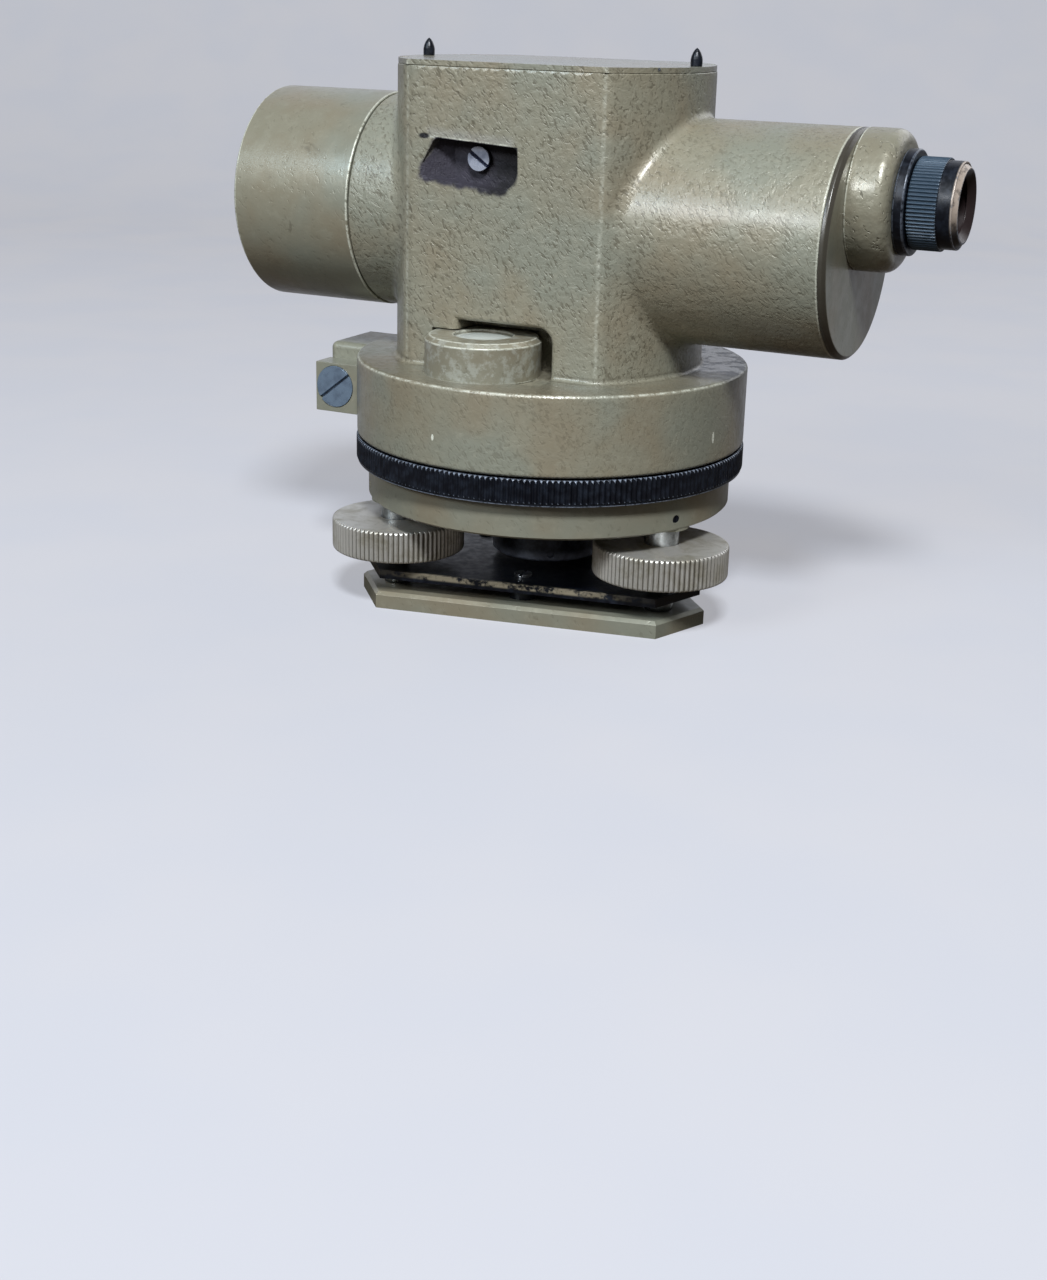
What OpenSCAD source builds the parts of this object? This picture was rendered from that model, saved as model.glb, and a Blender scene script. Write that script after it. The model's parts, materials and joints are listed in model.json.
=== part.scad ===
// Optical level: automatic levelling telescope on a three screw tribrach.
// Millimetres. +Z is up along the vertical axis, the eyepiece is towards +X,
// and the origin is where that axis meets the underside of the base plate.

/* [Tribrach] */
// Distance of a foot screw from the vertical axis
foot_r = 42; // [40:0.5:44]
// Turn of the tribrach about the vertical axis, in degrees
foot_turn = 10.7; // [0:0.1:20]
// Radius of a foot screw knob
foot_knob_r = 17.9; // [16:0.1:19]
// Height of a foot screw knob
foot_knob_h = 8.5; // [7:0.1:9]
// Grooves round a foot screw knob
foot_teeth = 81; // [60:1:90]
// Distance of the long sides of the base plate from the axis
base_side = 33.3; // [31:0.1:36]
// Half length of a long side of the base plate
base_half = 38.5; // [36:0.1:41]
// Thickness of the base plate
base_t = 4.6; // [4:0.1:5]
// Radius of the thread for the tripod screw
tripod_thread_r = 7.94; // [7:0.01:8.5]
// Radius of the tribrach head
head_r = 49.4; // [47:0.1:51]
// Height of the tribrach head
head_h = 8.9; // [8:0.1:8.9]

/* [Circle and alidade base] */
// Outer radius of the circle setting ring
circle_r = 52.7; // [51:0.1:54]
// Grooves round the circle setting ring
circle_teeth = 232; // [200:1:250]
// Radius of the round base of the housing
ring_r = 52.5; // [52:0.1:54]
// Height of the round base of the housing
ring_h = 20.9; // [20:0.1:22]

/* [Tower] */
// Radius of the tower
tower_r = 40.9; // [40:0.1:42]
// Half width of the tower across its flats
flat_y = 30.5; // [30:0.1:32]
// Height of the tower's rim above the base plate's underside
tower_top = 140.2; // [139:0.1:142]
// Wall of the tower and of its tubes
wall = 3.2; // [3:0.1:3.5]

/* [Telescope] */
// Height of the objective's axis
obj_z = 103.7; // [103:0.1:104]
// Radius of the objective sleeve
obj_r = 28.3; // [28:0.1:29]
// Length of the objective sleeve
obj_l = 35.4; // [34:0.1:37]
// Height of the rear tube's axis
tube_z = 101.3; // [101:0.1:102]
// Radius of the rear tube and of the neck
tube_r = 28; // [27.5:0.1:28.2]
// Rear end of the rear tube
tube_end = 80.5; // [79:0.1:82]
// Height of the eyepiece's axis
eye_z = 112.4; // [112:0.1:112.6]
// Radius of the eyepiece boss
boss_r = 17.05; // [16.5:0.05:17.2]
// Radius of the dioptre ring over its grooves
dioptre_r = 11; // [10.8:0.05:11.4]
// Grooves round the dioptre ring
dioptre_teeth = 72; // [60:1:80]
// Radius of the focus knob
focus_knob_r = 13; // [11:0.1:14]

/* [Circular bubble] */
// Radius of the bubble housing
bubble_r = 15; // [14.5:0.1:15.4]
// Height of the bubble housing
bubble_h = 9.8; // [9:0.1:10.2]

/* [Hidden] */

// Smoothness of round forms
$fn = 96;
// Play of running fits, and the overshoot of a cut
play = 0.05;
cut = 1;

// Colours
bronze = [0.47, 0.42, 0.26];
dark = [0.08, 0.08, 0.09];
steel = [0.62, 0.63, 0.64];
alloy = [0.72, 0.72, 0.70];
brass = [0.72, 0.58, 0.30];
glass = [0.75, 0.86, 0.88, 0.5];

// Levels of the stack, from the base plate up
ball_z = 6.6;
ball_r = 4;
neck_r = 2.8;
spring_z = 8;
spring_t = 2.4;
spring_inset = 1.2;
post_place = 24;
post_r = 3.6;
post_bore_r = 1.5;
foot_collar_z = 12;
foot_knob_z = 14.3;
foot_shaft_r = 4.6;
head_z = 28;
head_top = head_z + head_h;
circle_z = 37.3;
circle_h = 6.9;
circle_top = circle_z + circle_h;
ring_z = 44.6;
ring_top = ring_z + ring_h;
floor_t = 5;
cavity_top = ring_top - floor_t;
cavity_r = ring_r - 6;

// Corners of the adjusting screw's recess in the front flat: [x, z, radius]
recess_corners = [[-23.6, 114.4, 1], [-19.4, 121.9, 1], [2.1, 120.7, 0.9], [-2.9, 117.2, 6]];

// Angles of the foot screws about the vertical axis
foot_angles = [foot_turn - 30, foot_turn - 150, foot_turn + 90];

// Vertical axis bearing
axis_r = 11;
socket_r = 15;
socket_low = 22;
foot_shaft_top = 34.2;
bush_r = 6.8;
bush_h = 9;
bush_drop = 0.6;
grub_z = 31;
grub_r = 1.1;
grub_turn = -23;
socket_top = 55.8;
thread_r = 12.9;
hub_r = 15;
hub_z = 12;
hub_wall = 2;
neck_bore_r = 24.5;
spigot_r = 40;
spigot_top = 43.8;

// Tower, its pockets and the tubes
tower_x = -1;
tower_in_z = 70;
lid_t = 1.3;
neck_end = -47;
seam = 0.3;
bore_r = tube_r - wall;
bubble_x = -5;
bubble_y = -31;
vial_r = 7.6;
vial_low = 3;
pocket_gap = 0.3;
pocket_wall = 2.4;
pocket_x0 = -13;
pocket_x1 = 13.7;
pocket_top = 78.1;
pocket_y = -20;
pocket_round = 4;
recess_y = -25;
recess_screw_x = -9.5;
recess_screw_z = 118.2;
sight_x = [-38.7, 37];
sight_h = 4.4;
sight_r = 1.5;

// Tangent screw housing, on the objective's side of the round base
tan_x = -59;
tan_z = 52.65;
tan_half = 6.65;
tan_front = -15;
tan_mid = -7.5;
tan_back = 14;
tan_top = 64;
tan_low = 45.8;
tan_block_h = 13.7;
plug_r = 5.7;
plug_x = -59.5;
plug_z = 53;
plug_seat = 1.6;
arm_half = 3;
arm_room = 6;
plunger_r = 4;
rod_r = 3;
tan_journal_r = 6;
tan_knob_r = 8;
tan_knob_l = 12;
nose_r = 2.4;
nose_gap = 0.1;

// Focusing
guide_r = 15;
guide_wall = 2;
guide_x0 = -40;
guide_x1 = -14;
slide_x0 = -38;
slide_x1 = -6;
slide_in_r = 12.5;
rack_x0 = -22;
rack_w = 6;
mod = 0.4;
pinion_teeth = 10;
pinion_x = -14;
rack_pitch_z = 86.2;
pinion_z = rack_pitch_z - mod * pinion_teeth / 2;
pinion_shaft_r = 1.9;

// Compensator
comp_x0 = 6;
comp_x1 = 31;
pivot_x = 14;
pivot_z = 130;
carrier_top = 128;
prism = 8.6;
damper_x = pivot_x;
damper_r = 6;

// Eyepiece
cover_t = 1.9;
cover_end = tube_end + cover_t;
boss_end = 92.6;
boss_round = 3.4;
collar_r = 12.6;
collar_end = 95.4;
spigot_eye_r = 12;
eye_bore_r = 9.6;
ocular_r = 7.9;
knurl_end = 102.7;
band_r = 10.4;
band_end = 106.4;
eye_end_r = 10;
eye_end = 107.5;

// A solid of revolution about an axis along X at height z: points are [x, radius]
module turned_x(points, z) {
  translate([0, 0, z]) rotate([0, 90, 0]) rotate_extrude()
    polygon([for (p = points) [p[1], p[0]]]);
}

// A rod along X from x0 to x1 at height z
module rod_x(r, x0, x1, z, y = 0) {
  translate([x0, y, z]) rotate([0, 90, 0]) cylinder(r = r, h = x1 - x0);
}

// A rod along Y from y0 to y1
module rod_y(r, y0, y1, x, z) {
  translate([x, y0, z]) rotate([-90, 0, 0]) cylinder(r = r, h = y1 - y0);
}

// Outline of a straight knurl: grooves of the given depth round a circle
module knurl_2d(r, teeth, depth) {
  polygon([for (i = [0:teeth - 1]) for (k = [0:2])
    let (a = 360 * (i + [0.14, 0.58, 0.86][k]) / teeth, q = k == 2 ? r - depth : r)
    [q * cos(a), q * sin(a)]]);
}

// Knob with straight knurling and a chamfer at both ends
module knurled_knob(r, h, teeth, depth, chamfer = 0.85) {
  wide = 0.2;
  intersection() {
    linear_extrude(h) knurl_2d(r, teeth, depth);
    rotate_extrude() polygon([[0, 0], [r - chamfer, 0], [r + wide, chamfer + wide],
      [r + wide, h - chamfer - wide], [r - chamfer, h], [0, h]]);
  }
}

// Puts its children at each foot screw, turned to face outwards
module at_feet(which = [0, 1, 2]) {
  for (i = which) rotate(foot_angles[i]) translate([foot_r, 0, 0]) children();
}

// Puts its children at the middle of each long side of the base plate
module at_sides(r) {
  for (i = [0:2]) rotate(foot_turn - 90 + 120 * i) translate([r, 0, 0]) children();
}

// Triangle with cut corners, inset by d
module base_outline(d = 0) {
  side = base_side - d;
  half = base_half - d * tan(30);
  polygon([for (i = [0:2]) for (s = [-1, 1])
    let (a = foot_turn - 90 + 120 * i)
    [side * cos(a) - s * half * sin(a), side * sin(a) + s * half * cos(a)]]);
}

// Slotted screw with its head up: head of radius r and height h, shank of radius sr and length sl
module slotted_screw(r, h, sr, sl, slot = 0.8) {
  difference() {
    union() {
      cylinder(r = r, h = h);
      translate([0, 0, -sl]) cylinder(r = sr, h = sl + 0.01);
    }
    translate([-r - cut, -slot / 2, h / 2]) cube([2 * r + 2 * cut, slot, h]);
  }
}

// Base plate: chamfered triangle with ball seats, bush seat and post holes
module base_plate() {
  chamfer = 0.9;
  color(bronze) difference() {
    hull() {
      linear_extrude(base_t - chamfer) base_outline();
      linear_extrude(base_t) base_outline(chamfer);
    }
    translate([0, 0, -cut]) cylinder(r = 11, h = base_t + 2 * cut);
    at_feet() translate([0, 0, ball_z]) sphere(r = ball_r + 0.3);
    at_sides(post_place) translate([0, 0, -cut]) cylinder(r = post_bore_r, h = base_t + 2 * cut);
  }
}

// Steel bush with the tripod thread's bore, flanged under the spring plate
module tripod_bush() {
  color(steel) difference() {
    union() {
      cylinder(r = 11, h = base_t);
      translate([0, 0, base_t]) cylinder(r = 13, h = spring_z - base_t);
    }
    translate([0, 0, -cut]) cylinder(r = tripod_thread_r, h = spring_z + 2 * cut);
  }
}

// Spring plate: holds the foot screws' balls down in their seats
module spring_plate() {
  color(dark) translate([0, 0, spring_z]) difference() {
    linear_extrude(spring_t) base_outline(spring_inset);
    translate([0, 0, -cut]) cylinder(r = 9, h = spring_t + 2 * cut);
    at_feet() translate([0, 0, -cut]) cylinder(r = neck_r + 0.6, h = spring_t + 2 * cut);
    at_feet() translate([0, 0, ball_z - spring_z]) sphere(r = ball_r + 0.3);
    at_sides(post_place) translate([0, 0, -cut]) cylinder(r = post_bore_r, h = spring_t + 2 * cut);
  }
}

// Distance posts between the two plates
module spring_plate_posts() {
  color(dark) at_sides(post_place) translate([0, 0, base_t]) difference() {
    cylinder(r = post_r, h = spring_z - base_t);
    translate([0, 0, -cut]) cylinder(r = post_bore_r, h = spring_z);
  }
}

// Screws that clamp the spring plate and posts to the base plate
module spring_plate_screws() {
  color(steel) at_sides(post_place) translate([0, 0, spring_z + spring_t])
    slotted_screw(2.4, 0.9, post_bore_r, spring_z + spring_t - 1);
}

// Tribrach head: disc with screw bosses below, a spigot for the circle and a seat for the axis
module tribrach_head() {
  edge = 0.5;
  color(bronze) difference() {
    union() {
      rotate_extrude() polygon([[0, head_z], [head_r - edge, head_z], [head_r, head_z + edge],
        [head_r, head_top], [spigot_r, head_top], [spigot_r, spigot_top], [0, spigot_top]]);
      at_feet() translate([0, 0, head_z - bush_drop]) cylinder(r = bush_r + 0.4, h = 3);
    }
    translate([0, 0, head_z - cut]) cylinder(r = socket_r, h = 40);
    at_feet() translate([0, 0, head_z - cut]) cylinder(r = bush_r, h = head_h + cut + 0.6);
    rotate_extrude() translate([18.5, head_z - cut]) square([14.5, 5 + cut]);
    rotate_extrude() translate([18.5, head_top + 1]) square([14.5, 8]);
    at_feet() grub_place() cylinder(r = grub_r, h = 12);
  }
}

// Axis of the friction screw of a foot screw, slanted to the side, in the place of that foot screw
module grub_place() {
  translate([0, 0, grub_z]) rotate([0, 90, grub_turn]) children();
}

// Threaded bushes of the foot screws: the third has room for the head's tilt
module foot_bushes() {
  color(brass) for (i = [0:2]) at_feet([i]) difference() {
    translate([0, 0, head_z - bush_drop]) cylinder(r = bush_r, h = bush_h);
    translate([0, 0, head_z - 2]) cylinder(r = foot_shaft_r + (i == 2 ? 1.15 : play), h = bush_h + 4);
    grub_place() cylinder(r = grub_r, h = 9);
  }
}

// Small screws that set the friction of each foot screw
module foot_grub_screws() {
  color(steel) at_feet() grub_place() translate([0, 0, foot_shaft_r + 1.3]) difference() {
    cylinder(r = grub_r - play, h = 1.6);
    translate([-1.5, -0.15, 1.2]) cube([3, 0.3, 1]);
  }
}

// Fixed outer sleeve of the vertical axis
module axis_socket() {
  color(brass) difference() {
    union() {
      translate([0, 0, head_z]) cylinder(r = socket_r, h = socket_top - head_z);
      translate([0, 0, socket_low]) cylinder(r = thread_r, h = head_z - socket_low + 0.01);
    }
    translate([0, 0, socket_low - cut]) cylinder(r = axis_r, h = 60);
  }
}

// Black hub under the head: closes the axis and is turned by its tommy holes
module hub_cup() {
  edge = 0.5;
  color(dark) difference() {
    rotate_extrude() polygon([[0, hub_z], [hub_r - edge, hub_z], [hub_r, hub_z + edge],
      [hub_r, head_z - 0.2], [thread_r + play, head_z - 0.2], [thread_r + play, hub_z + hub_wall],
      [0, hub_z + hub_wall]]);
    for (i = [0:3]) rotate(foot_turn - 71 + 90 * i) translate([hub_r - 1.4, 0, hub_z + 2.1])
      rotate([0, 90, 0]) cylinder(r = 1, h = 4);
  }
}

// Knob of a foot screw
module foot_knob(i) {
  color(alloy) at_feet([i]) translate([0, 0, foot_knob_z]) difference() {
    knurled_knob(foot_knob_r, foot_knob_h, foot_teeth, 0.7, 0.8);
    translate([0, 0, -cut]) cylinder(r = foot_shaft_r, h = foot_knob_h + 2 * cut);
    translate([0, 0, -cut]) cylinder(r = foot_knob_r - 4, h = 1.5 + cut);
  }
}
module foot_knob_a() { foot_knob(0); }
module foot_knob_b() { foot_knob(1); }
module foot_knob_c() { foot_knob(2); }

// Spindle of a foot screw: ball, neck, collar, and the screwed shaft
module foot_spindle(i) {
  top = foot_shaft_top;
  color(steel) at_feet([i]) union() {
    translate([0, 0, ball_z]) sphere(r = ball_r);
    translate([0, 0, ball_z]) cylinder(r = neck_r, h = foot_collar_z - ball_z + 0.01);
    translate([0, 0, foot_collar_z]) cylinder(r = 6, h = foot_knob_z + 1.5 - foot_collar_z);
    rotate_extrude() polygon([[0, foot_collar_z + 1], [foot_shaft_r, foot_collar_z + 1],
      [foot_shaft_r, top - 1], [foot_shaft_r - 1, top], [0, top]]);
  }
}
module foot_spindle_a() { foot_spindle(0); }
module foot_spindle_b() { foot_spindle(1); }
module foot_spindle_c() { foot_spindle(2); }

// Black knurled ring that sets the horizontal circle
module circle_ring() {
  color(dark) translate([0, 0, circle_z]) difference() {
    knurled_knob(circle_r, circle_h, circle_teeth, 0.55, 0.9);
    translate([0, 0, -cut]) cylinder(r = spigot_r + play, h = circle_h + 2 * cut);
  }
}

// Graduated limb of the horizontal circle
module circle_plate() {
  limb_t = 0.9;
  color(alloy) translate([0, 0, circle_top]) difference() {
    cylinder(r = cavity_r - 1, h = limb_t);
    translate([0, 0, -cut]) cylinder(r = 34, h = limb_t + 2 * cut);
    for (i = [0:35]) rotate(10 * i) translate([cavity_r - 5, -0.15, limb_t - 0.2])
      cube([3, 0.3, cut]);
  }
}

// Friction collar on the axis sleeve, with the arm that the tangent screw pushes
module clamp_collar() {
  collar_z = 48;
  tip = 3.4;
  color(brass) difference() {
    union() {
      translate([0, 0, collar_z]) cylinder(r = 22, h = 7.6);
      translate([tan_x - tip, -arm_half, tan_z - 3]) cube([-tan_x + tip - 20, 2 * arm_half, 5.8]);
    }
    translate([0, 0, collar_z - cut]) cylinder(r = socket_r + play, h = 12);
    translate([14, -0.6, collar_z - cut]) cube([10, 1.2, 12]);
  }
}

// Outline of the tower: a round with two flats, inset by d
module tower_2d(d = 0) {
  translate([tower_x, 0]) intersection() {
    circle(r = tower_r - d);
    square([2 * tower_r, 2 * (flat_y - d)], center = true);
  }
}

// Room round the circular bubble, grown by d: close to its housing, with a window over it
module bubble_pocket(d = 0) {
  corner = pocket_round + d;
  translate([bubble_x, bubble_y, ring_top - d])
    cylinder(r = bubble_r + pocket_gap + d, h = bubble_h + pocket_gap + 2 * d);
  translate([0, pocket_y + d, 0]) rotate([90, 0, 0])
    linear_extrude(pocket_y + flat_y + cut + d) hull() {
      translate([pocket_x0 - d, ring_top - d]) square([1, pocket_top - ring_top + 2 * d]);
      translate([pocket_x1 + d - 1, ring_top - d]) square(1);
      translate([pocket_x1 - pocket_round, pocket_top - pocket_round]) circle(r = corner);
    }
}

// Recess of the adjusting screw from y0 to y1, grown by d
module recess(y0, y1, d = 0) {
  translate([0, y1, 0]) rotate([90, 0, 0]) linear_extrude(y1 - y0)
    hull() for (c = recess_corners) translate([c[0], c[1]]) circle(r = c[2] + d);
}

// Cast housing: round base, tower, neck and rear tube in one piece
module housing() {
  edge = 1;
  color(bronze) difference() {
    union() {
      difference() {
        union() {
          rotate_extrude() polygon([[0, ring_z], [ring_r, ring_z], [ring_r, ring_top - edge],
            [ring_r - 0.3, ring_top - 0.3], [ring_r - edge, ring_top], [0, ring_top]]);
          translate([0, 0, ring_top - 1]) linear_extrude(tower_top - ring_top + 1) tower_2d();
          rod_x(tube_r, 0, tube_end, tube_z);
          rod_x(tube_r, neck_end, 0, obj_z);
        }
        translate([0, 0, tower_in_z]) linear_extrude(tower_top) tower_2d(wall);
        rod_x(bore_r, 0, tube_end + cut, tube_z);
        rod_x(neck_bore_r, neck_end - cut, 0, obj_z);
        translate([0, 0, ring_z - cut]) cylinder(r = cavity_r, h = ring_h - floor_t + cut);
      }
      intersection() {
        bubble_pocket(pocket_wall);
        translate([0, 0, ring_top - pocket_wall]) linear_extrude(30) tower_2d(0.5);
      }
      recess(-flat_y + 0.5, recess_y + 2, 2.5);
      difference() {
        translate([tan_x - tan_half, tan_mid, tan_low]) cube([24, tan_back - tan_mid, tan_top - tan_low]);
        translate([0, 0, ring_z - cut]) cylinder(r = cavity_r, h = ring_h - floor_t + cut);
      }
    }
    bubble_pocket();
    recess(-flat_y - cut, recess_y);
    rod_y(1.2, recess_y - cut, recess_y + 1.5, recess_screw_x, recess_screw_z);
    translate([tan_x - 4.5, -arm_room, tan_z - 4.2]) cube([22, 2 * arm_room, 8.4]);
    rod_y(plunger_r, tan_mid - cut, 0, tan_x, tan_z);
    rod_y(rod_r, 0, tan_back + cut, tan_x, tan_z);
    rod_y(tan_journal_r + play, 11, tan_back + cut, tan_x, tan_z);
    rod_y(5, flat_y - wall - cut, flat_y + cut, pinion_x, pinion_z);
    lid_screw_places() translate([0, 0, tower_top - 5]) cylinder(r = 0.9, h = 6);
  }
}

// Puts its children over the tower's wall, where the lid is screwed down
module lid_screw_places() {
  for (a = [28, 152, -28, -152]) translate([tower_x, 0, 0]) rotate(a)
    translate([tower_r - wall / 2, 0, 0]) children();
}

// Rotating inner spindle of the vertical axis, with its flange under the housing's floor
module axis_spindle() {
  color(steel) rotate_extrude() polygon([[0, 17], [7, 17], [7, socket_low], [axis_r - play, socket_low],
    [axis_r - play, 56.5], [24, 56.5], [24, cavity_top], [0, cavity_top]]);
}

// Nut that keeps the spindle down in its socket
module spindle_nut() {
  color(brass) difference() {
    translate([0, 0, 17.6]) cylinder(r = 10.5, h = 4);
    translate([0, 0, 16]) cylinder(r = 7, h = 8);
    for (i = [0:1]) rotate(180 * i) translate([9, -1, 16.6]) cube([3, 2, 2.4]);
  }
}

// Lid of the tower with a locating lip
module lid() {
  color(bronze) difference() {
    union() {
      translate([0, 0, tower_top]) linear_extrude(lid_t) tower_2d(0.15);
      translate([0, 0, tower_top - 2]) linear_extrude(2.01) difference() {
        tower_2d(wall + 0.2);
        tower_2d(wall + 2);
      }
    }
    lid_screw_places() translate([0, 0, tower_top - cut]) cylinder(r = 0.9, h = 4);
    lid_screw_places() translate([0, 0, tower_top + lid_t - 0.9]) cylinder(r = 1.5, h = 4);
  }
}

// Four screws of the lid
module lid_screws() {
  color(steel) lid_screw_places() translate([0, 0, tower_top + lid_t - 0.9])
    slotted_screw(1.5, 0.8, 0.9, 5, 0.4);
}

// Pointed pin of the open sight
module sight(x) {
  z = tower_top + lid_t;
  color(dark) translate([x, 0, z]) rotate_extrude()
    polygon([[0, 0], [sight_r, 0], [sight_r, 1.6], [sight_r * 0.9, 2.4], [sight_r * 0.66, 3.3],
      [sight_r * 0.34, 4], [0, sight_h]]);
}
module front_sight() { sight(sight_x[0]); }
module rear_sight() { sight(sight_x[1]); }

// End block of the tangent screw housing, bored for the spring plunger
module tangent_block() {
  color(bronze) difference() {
    translate([tan_x - tan_half, tan_front, tan_low])
      cube([2 * tan_half, tan_mid - tan_front, tan_block_h]);
    rod_y(plunger_r, tan_front + 2.4, tan_mid + cut, tan_x, tan_z);
    rod_y(plug_r + play, tan_front - cut, tan_front + plug_seat, plug_x, plug_z);
    rod_y(3, tan_front + 1, tan_front + 3, tan_x, tan_z);
  }
}

// Slotted steel plug that closes the plunger's bore
module tangent_plug() {
  color(steel) translate([plug_x, tan_front + plug_seat, plug_z]) rotate([90, -38, 0])
    slotted_screw(plug_r, 1.9, 2.4, 0.8, 0.8);
}

// Plunger that presses the arm against the tangent rod
module spring_plunger() {
  color(steel) translate([tan_x, 0, tan_z]) rotate([-90, 0, 0]) rotate_extrude()
    polygon(concat([[0, -9.2], [plunger_r - play, -9.2], [plunger_r - play, -5.8]],
      [for (k = [0:6]) [nose_r * cos(15 * k), nose_r * sin(15 * k) - arm_half - nose_gap - nose_r]]));
}

// Sliding rod that pushes the arm, driven by the tangent knob
module tangent_rod() {
  color(steel) union() {
    rod_y(rod_r - play, arm_half + nose_gap + rod_r - play, 22, tan_x, tan_z);
    translate([tan_x, arm_half + nose_gap + rod_r - play, tan_z]) sphere(r = rod_r - play);
  }
}

// Knob of the slow horizontal motion
module tangent_knob() {
  color(alloy) translate([tan_x, 11.1, tan_z]) rotate([-90, 0, 0]) difference() {
    union() {
      cylinder(r = tan_journal_r, h = 4);
      translate([0, 0, 3.3]) knurled_knob(tan_knob_r, tan_knob_l, 40, 0.6);
    }
    translate([0, 0, -cut]) cylinder(r = rod_r, h = 14.6);
  }
}

// Sleeve in front of the tower that carries the objective
module objective_sleeve() {
  end = neck_end - seam;
  front = end - obj_l;
  color(bronze) turned_x([[front, 25.6], [front, obj_r - 0.6], [front + 0.6, obj_r], [end - 0.3, obj_r],
    [end, obj_r - 0.3], [end, 24.45], [end + 6, 24.45], [end + 6, 22], [-60, 22], [-60, 25.6]], obj_z);
}

// Cell that holds the two lenses of the objective
module lens_cell() {
  color(dark) turned_x([[-76, 20.5], [-76, 25.55], [-60.1, 25.55], [-60.1, 18], [-63, 18],
    [-63, 20.5]], obj_z);
}

// Front crown lens, biconvex
module crown_lens() {
  color(glass) turned_x([[-74.6, 0], [-74.3, 7], [-73.4, 14], [-72, 20.4], [-69.5, 20.4],
    [-68, 14], [-67.1, 7], [-66.8, 0]], obj_z);
}

// Rear flint lens, hollow in front and nearly flat behind
module flint_lens() {
  color(glass) turned_x([[-66.6, 0], [-66.9, 7], [-67.8, 14], [-69.3, 20.4], [-63.1, 20.4],
    [-63.1, 0]], obj_z);
}

// Threaded ring that keeps the lenses in
module lens_ring() {
  color(dark) turned_x([[-79, 19.4], [-79, 25.5], [-76.1, 25.5], [-76.1, 20.2], [-73.4, 20.2],
    [-73.4, 19.2]], obj_z);
}

// Guide tube of the focusing slide, slotted below for the rack
module focus_guide() {
  color(alloy) difference() {
    turned_x([[guide_x0, guide_r + play], [guide_x0, 24.4], [guide_x0 + 3, 24.4],
      [guide_x0 + 3, guide_r + guide_wall], [guide_x1, guide_r + guide_wall],
      [guide_x1, guide_r + play]], obj_z);
    translate([rack_x0 - 7, -rack_w / 2 - 0.6, obj_z - 30]) cube([40, rack_w + 1.2, 30]);
  }
}

// Sliding tube with its rack underneath
module focus_tube() {
  pitch = PI * mod;
  tips = 0.3;
  roots = 0.45;
  color(brass) union() {
    turned_x([[slide_x0, slide_in_r], [slide_x0, guide_r], [slide_x1, guide_r],
      [slide_x1, slide_in_r]], obj_z);
    translate([0, rack_w / 2, 0]) rotate([90, 0, 0]) linear_extrude(rack_w) difference() {
      translate([rack_x0, rack_pitch_z - tips]) square([slide_x1 - rack_x0, 90.2 - rack_pitch_z + tips]);
      for (i = [-8:6]) translate([pinion_x + pitch * i, rack_pitch_z])
        polygon([[-0.53, -tips - 0.2], [0.53, -tips - 0.2], [0.34, roots], [-0.34, roots]]);
    }
  }
}

// Negative focusing lens
module focus_lens() {
  color(glass) turned_x([[-35, 0], [-35.2, 6], [-36, 12.45], [-32, 12.45], [-32.8, 6], [-33, 0]], obj_z);
}

// Pinion and shaft of the focus drive
module focus_pinion() {
  tooth_w = 3.3;
  color(steel) translate([pinion_x, 0, pinion_z]) rotate([-90, 0, 0]) union() {
    translate([0, 0, -tooth_w]) linear_extrude(2 * tooth_w) union() {
      circle(r = 1.55);
      for (i = [0:pinion_teeth - 1]) rotate(90 + 360 * i / pinion_teeth)
        polygon([[1, -0.3], [1.5, -0.27], [2.3, -0.11], [2.3, 0.11], [1.5, 0.27], [1, 0.3]]);
    }
    translate([0, 0, tooth_w]) cylinder(r = pinion_shaft_r, h = 38.5);
    translate([0, 0, -8]) cylinder(r = 1.4, h = 6);
  }
}

// Bearing bush of the focus shaft in the tower's wall
module focus_bush() {
  color(brass) difference() {
    union() {
      rod_y(5, flat_y - wall - 4, flat_y, pinion_x, pinion_z);
      rod_y(7, flat_y, flat_y + 2, pinion_x, pinion_z);
    }
    rod_y(pinion_shaft_r + play, 20, 40, pinion_x, pinion_z);
  }
}

// Focus knob on the right hand side
module focus_knob() {
  color(dark) translate([pinion_x, flat_y + 2.6, pinion_z]) rotate([-90, 0, 0]) difference() {
    union() {
      cylinder(r = 6, h = 3);
      translate([0, 0, 2]) knurled_knob(focus_knob_r, 9, 50, 0.6);
    }
    translate([0, 0, -cut]) cylinder(r = pinion_shaft_r, h = 9.8);
  }
}

// Fixed frame of the compensator, cut away where the bubble's pocket reaches in
module compensator_frame() {
  color(alloy) difference() {
    compensator_bars(3, 19);
    bubble_pocket(pocket_wall + pocket_gap);
  }
}

// Foot, two cheeks, top bar and prism bracket of that frame, half as wide as given
module compensator_bars(cheek, half) {
  union() {
    difference() {
      translate([comp_x0, -half, tower_in_z]) cube([comp_x1 - comp_x0, 2 * half, 4]);
      translate([pivot_x, 0, tower_in_z - cut]) cylinder(r = 3, h = 8);
    }
    for (s = [-1, 1]) translate([comp_x0, s * (half - cheek / 2) - cheek / 2, tower_in_z + 3])
      cube([14, cheek, pivot_z + 4 - tower_in_z - 3]);
    translate([comp_x0 + 4, -half, pivot_z]) cube([8, 2 * half, 4]);
    translate([comp_x0 + 13, -half, 107]) cube([3, 2 * half, 3]);
    translate([comp_x0 + 13, -half, 117]) cube([3, 2 * half, 3]);
    for (s = [-1, 1]) translate([comp_x0 + 11, s * (half - cheek / 2) - cheek / 2, 105])
      cube([5, cheek, 17]);
  }
}

// Upper prism, fixed on the eyepiece's axis
module fixed_prism() {
  color(glass) translate([comp_x0 + 13, 7, eye_z]) rotate([90, 0, 0]) linear_extrude(14)
    polygon([[0, -prism / 2 + 0.2], [0, prism / 2], [-prism, -prism / 2 + 0.2]]);
}

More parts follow.
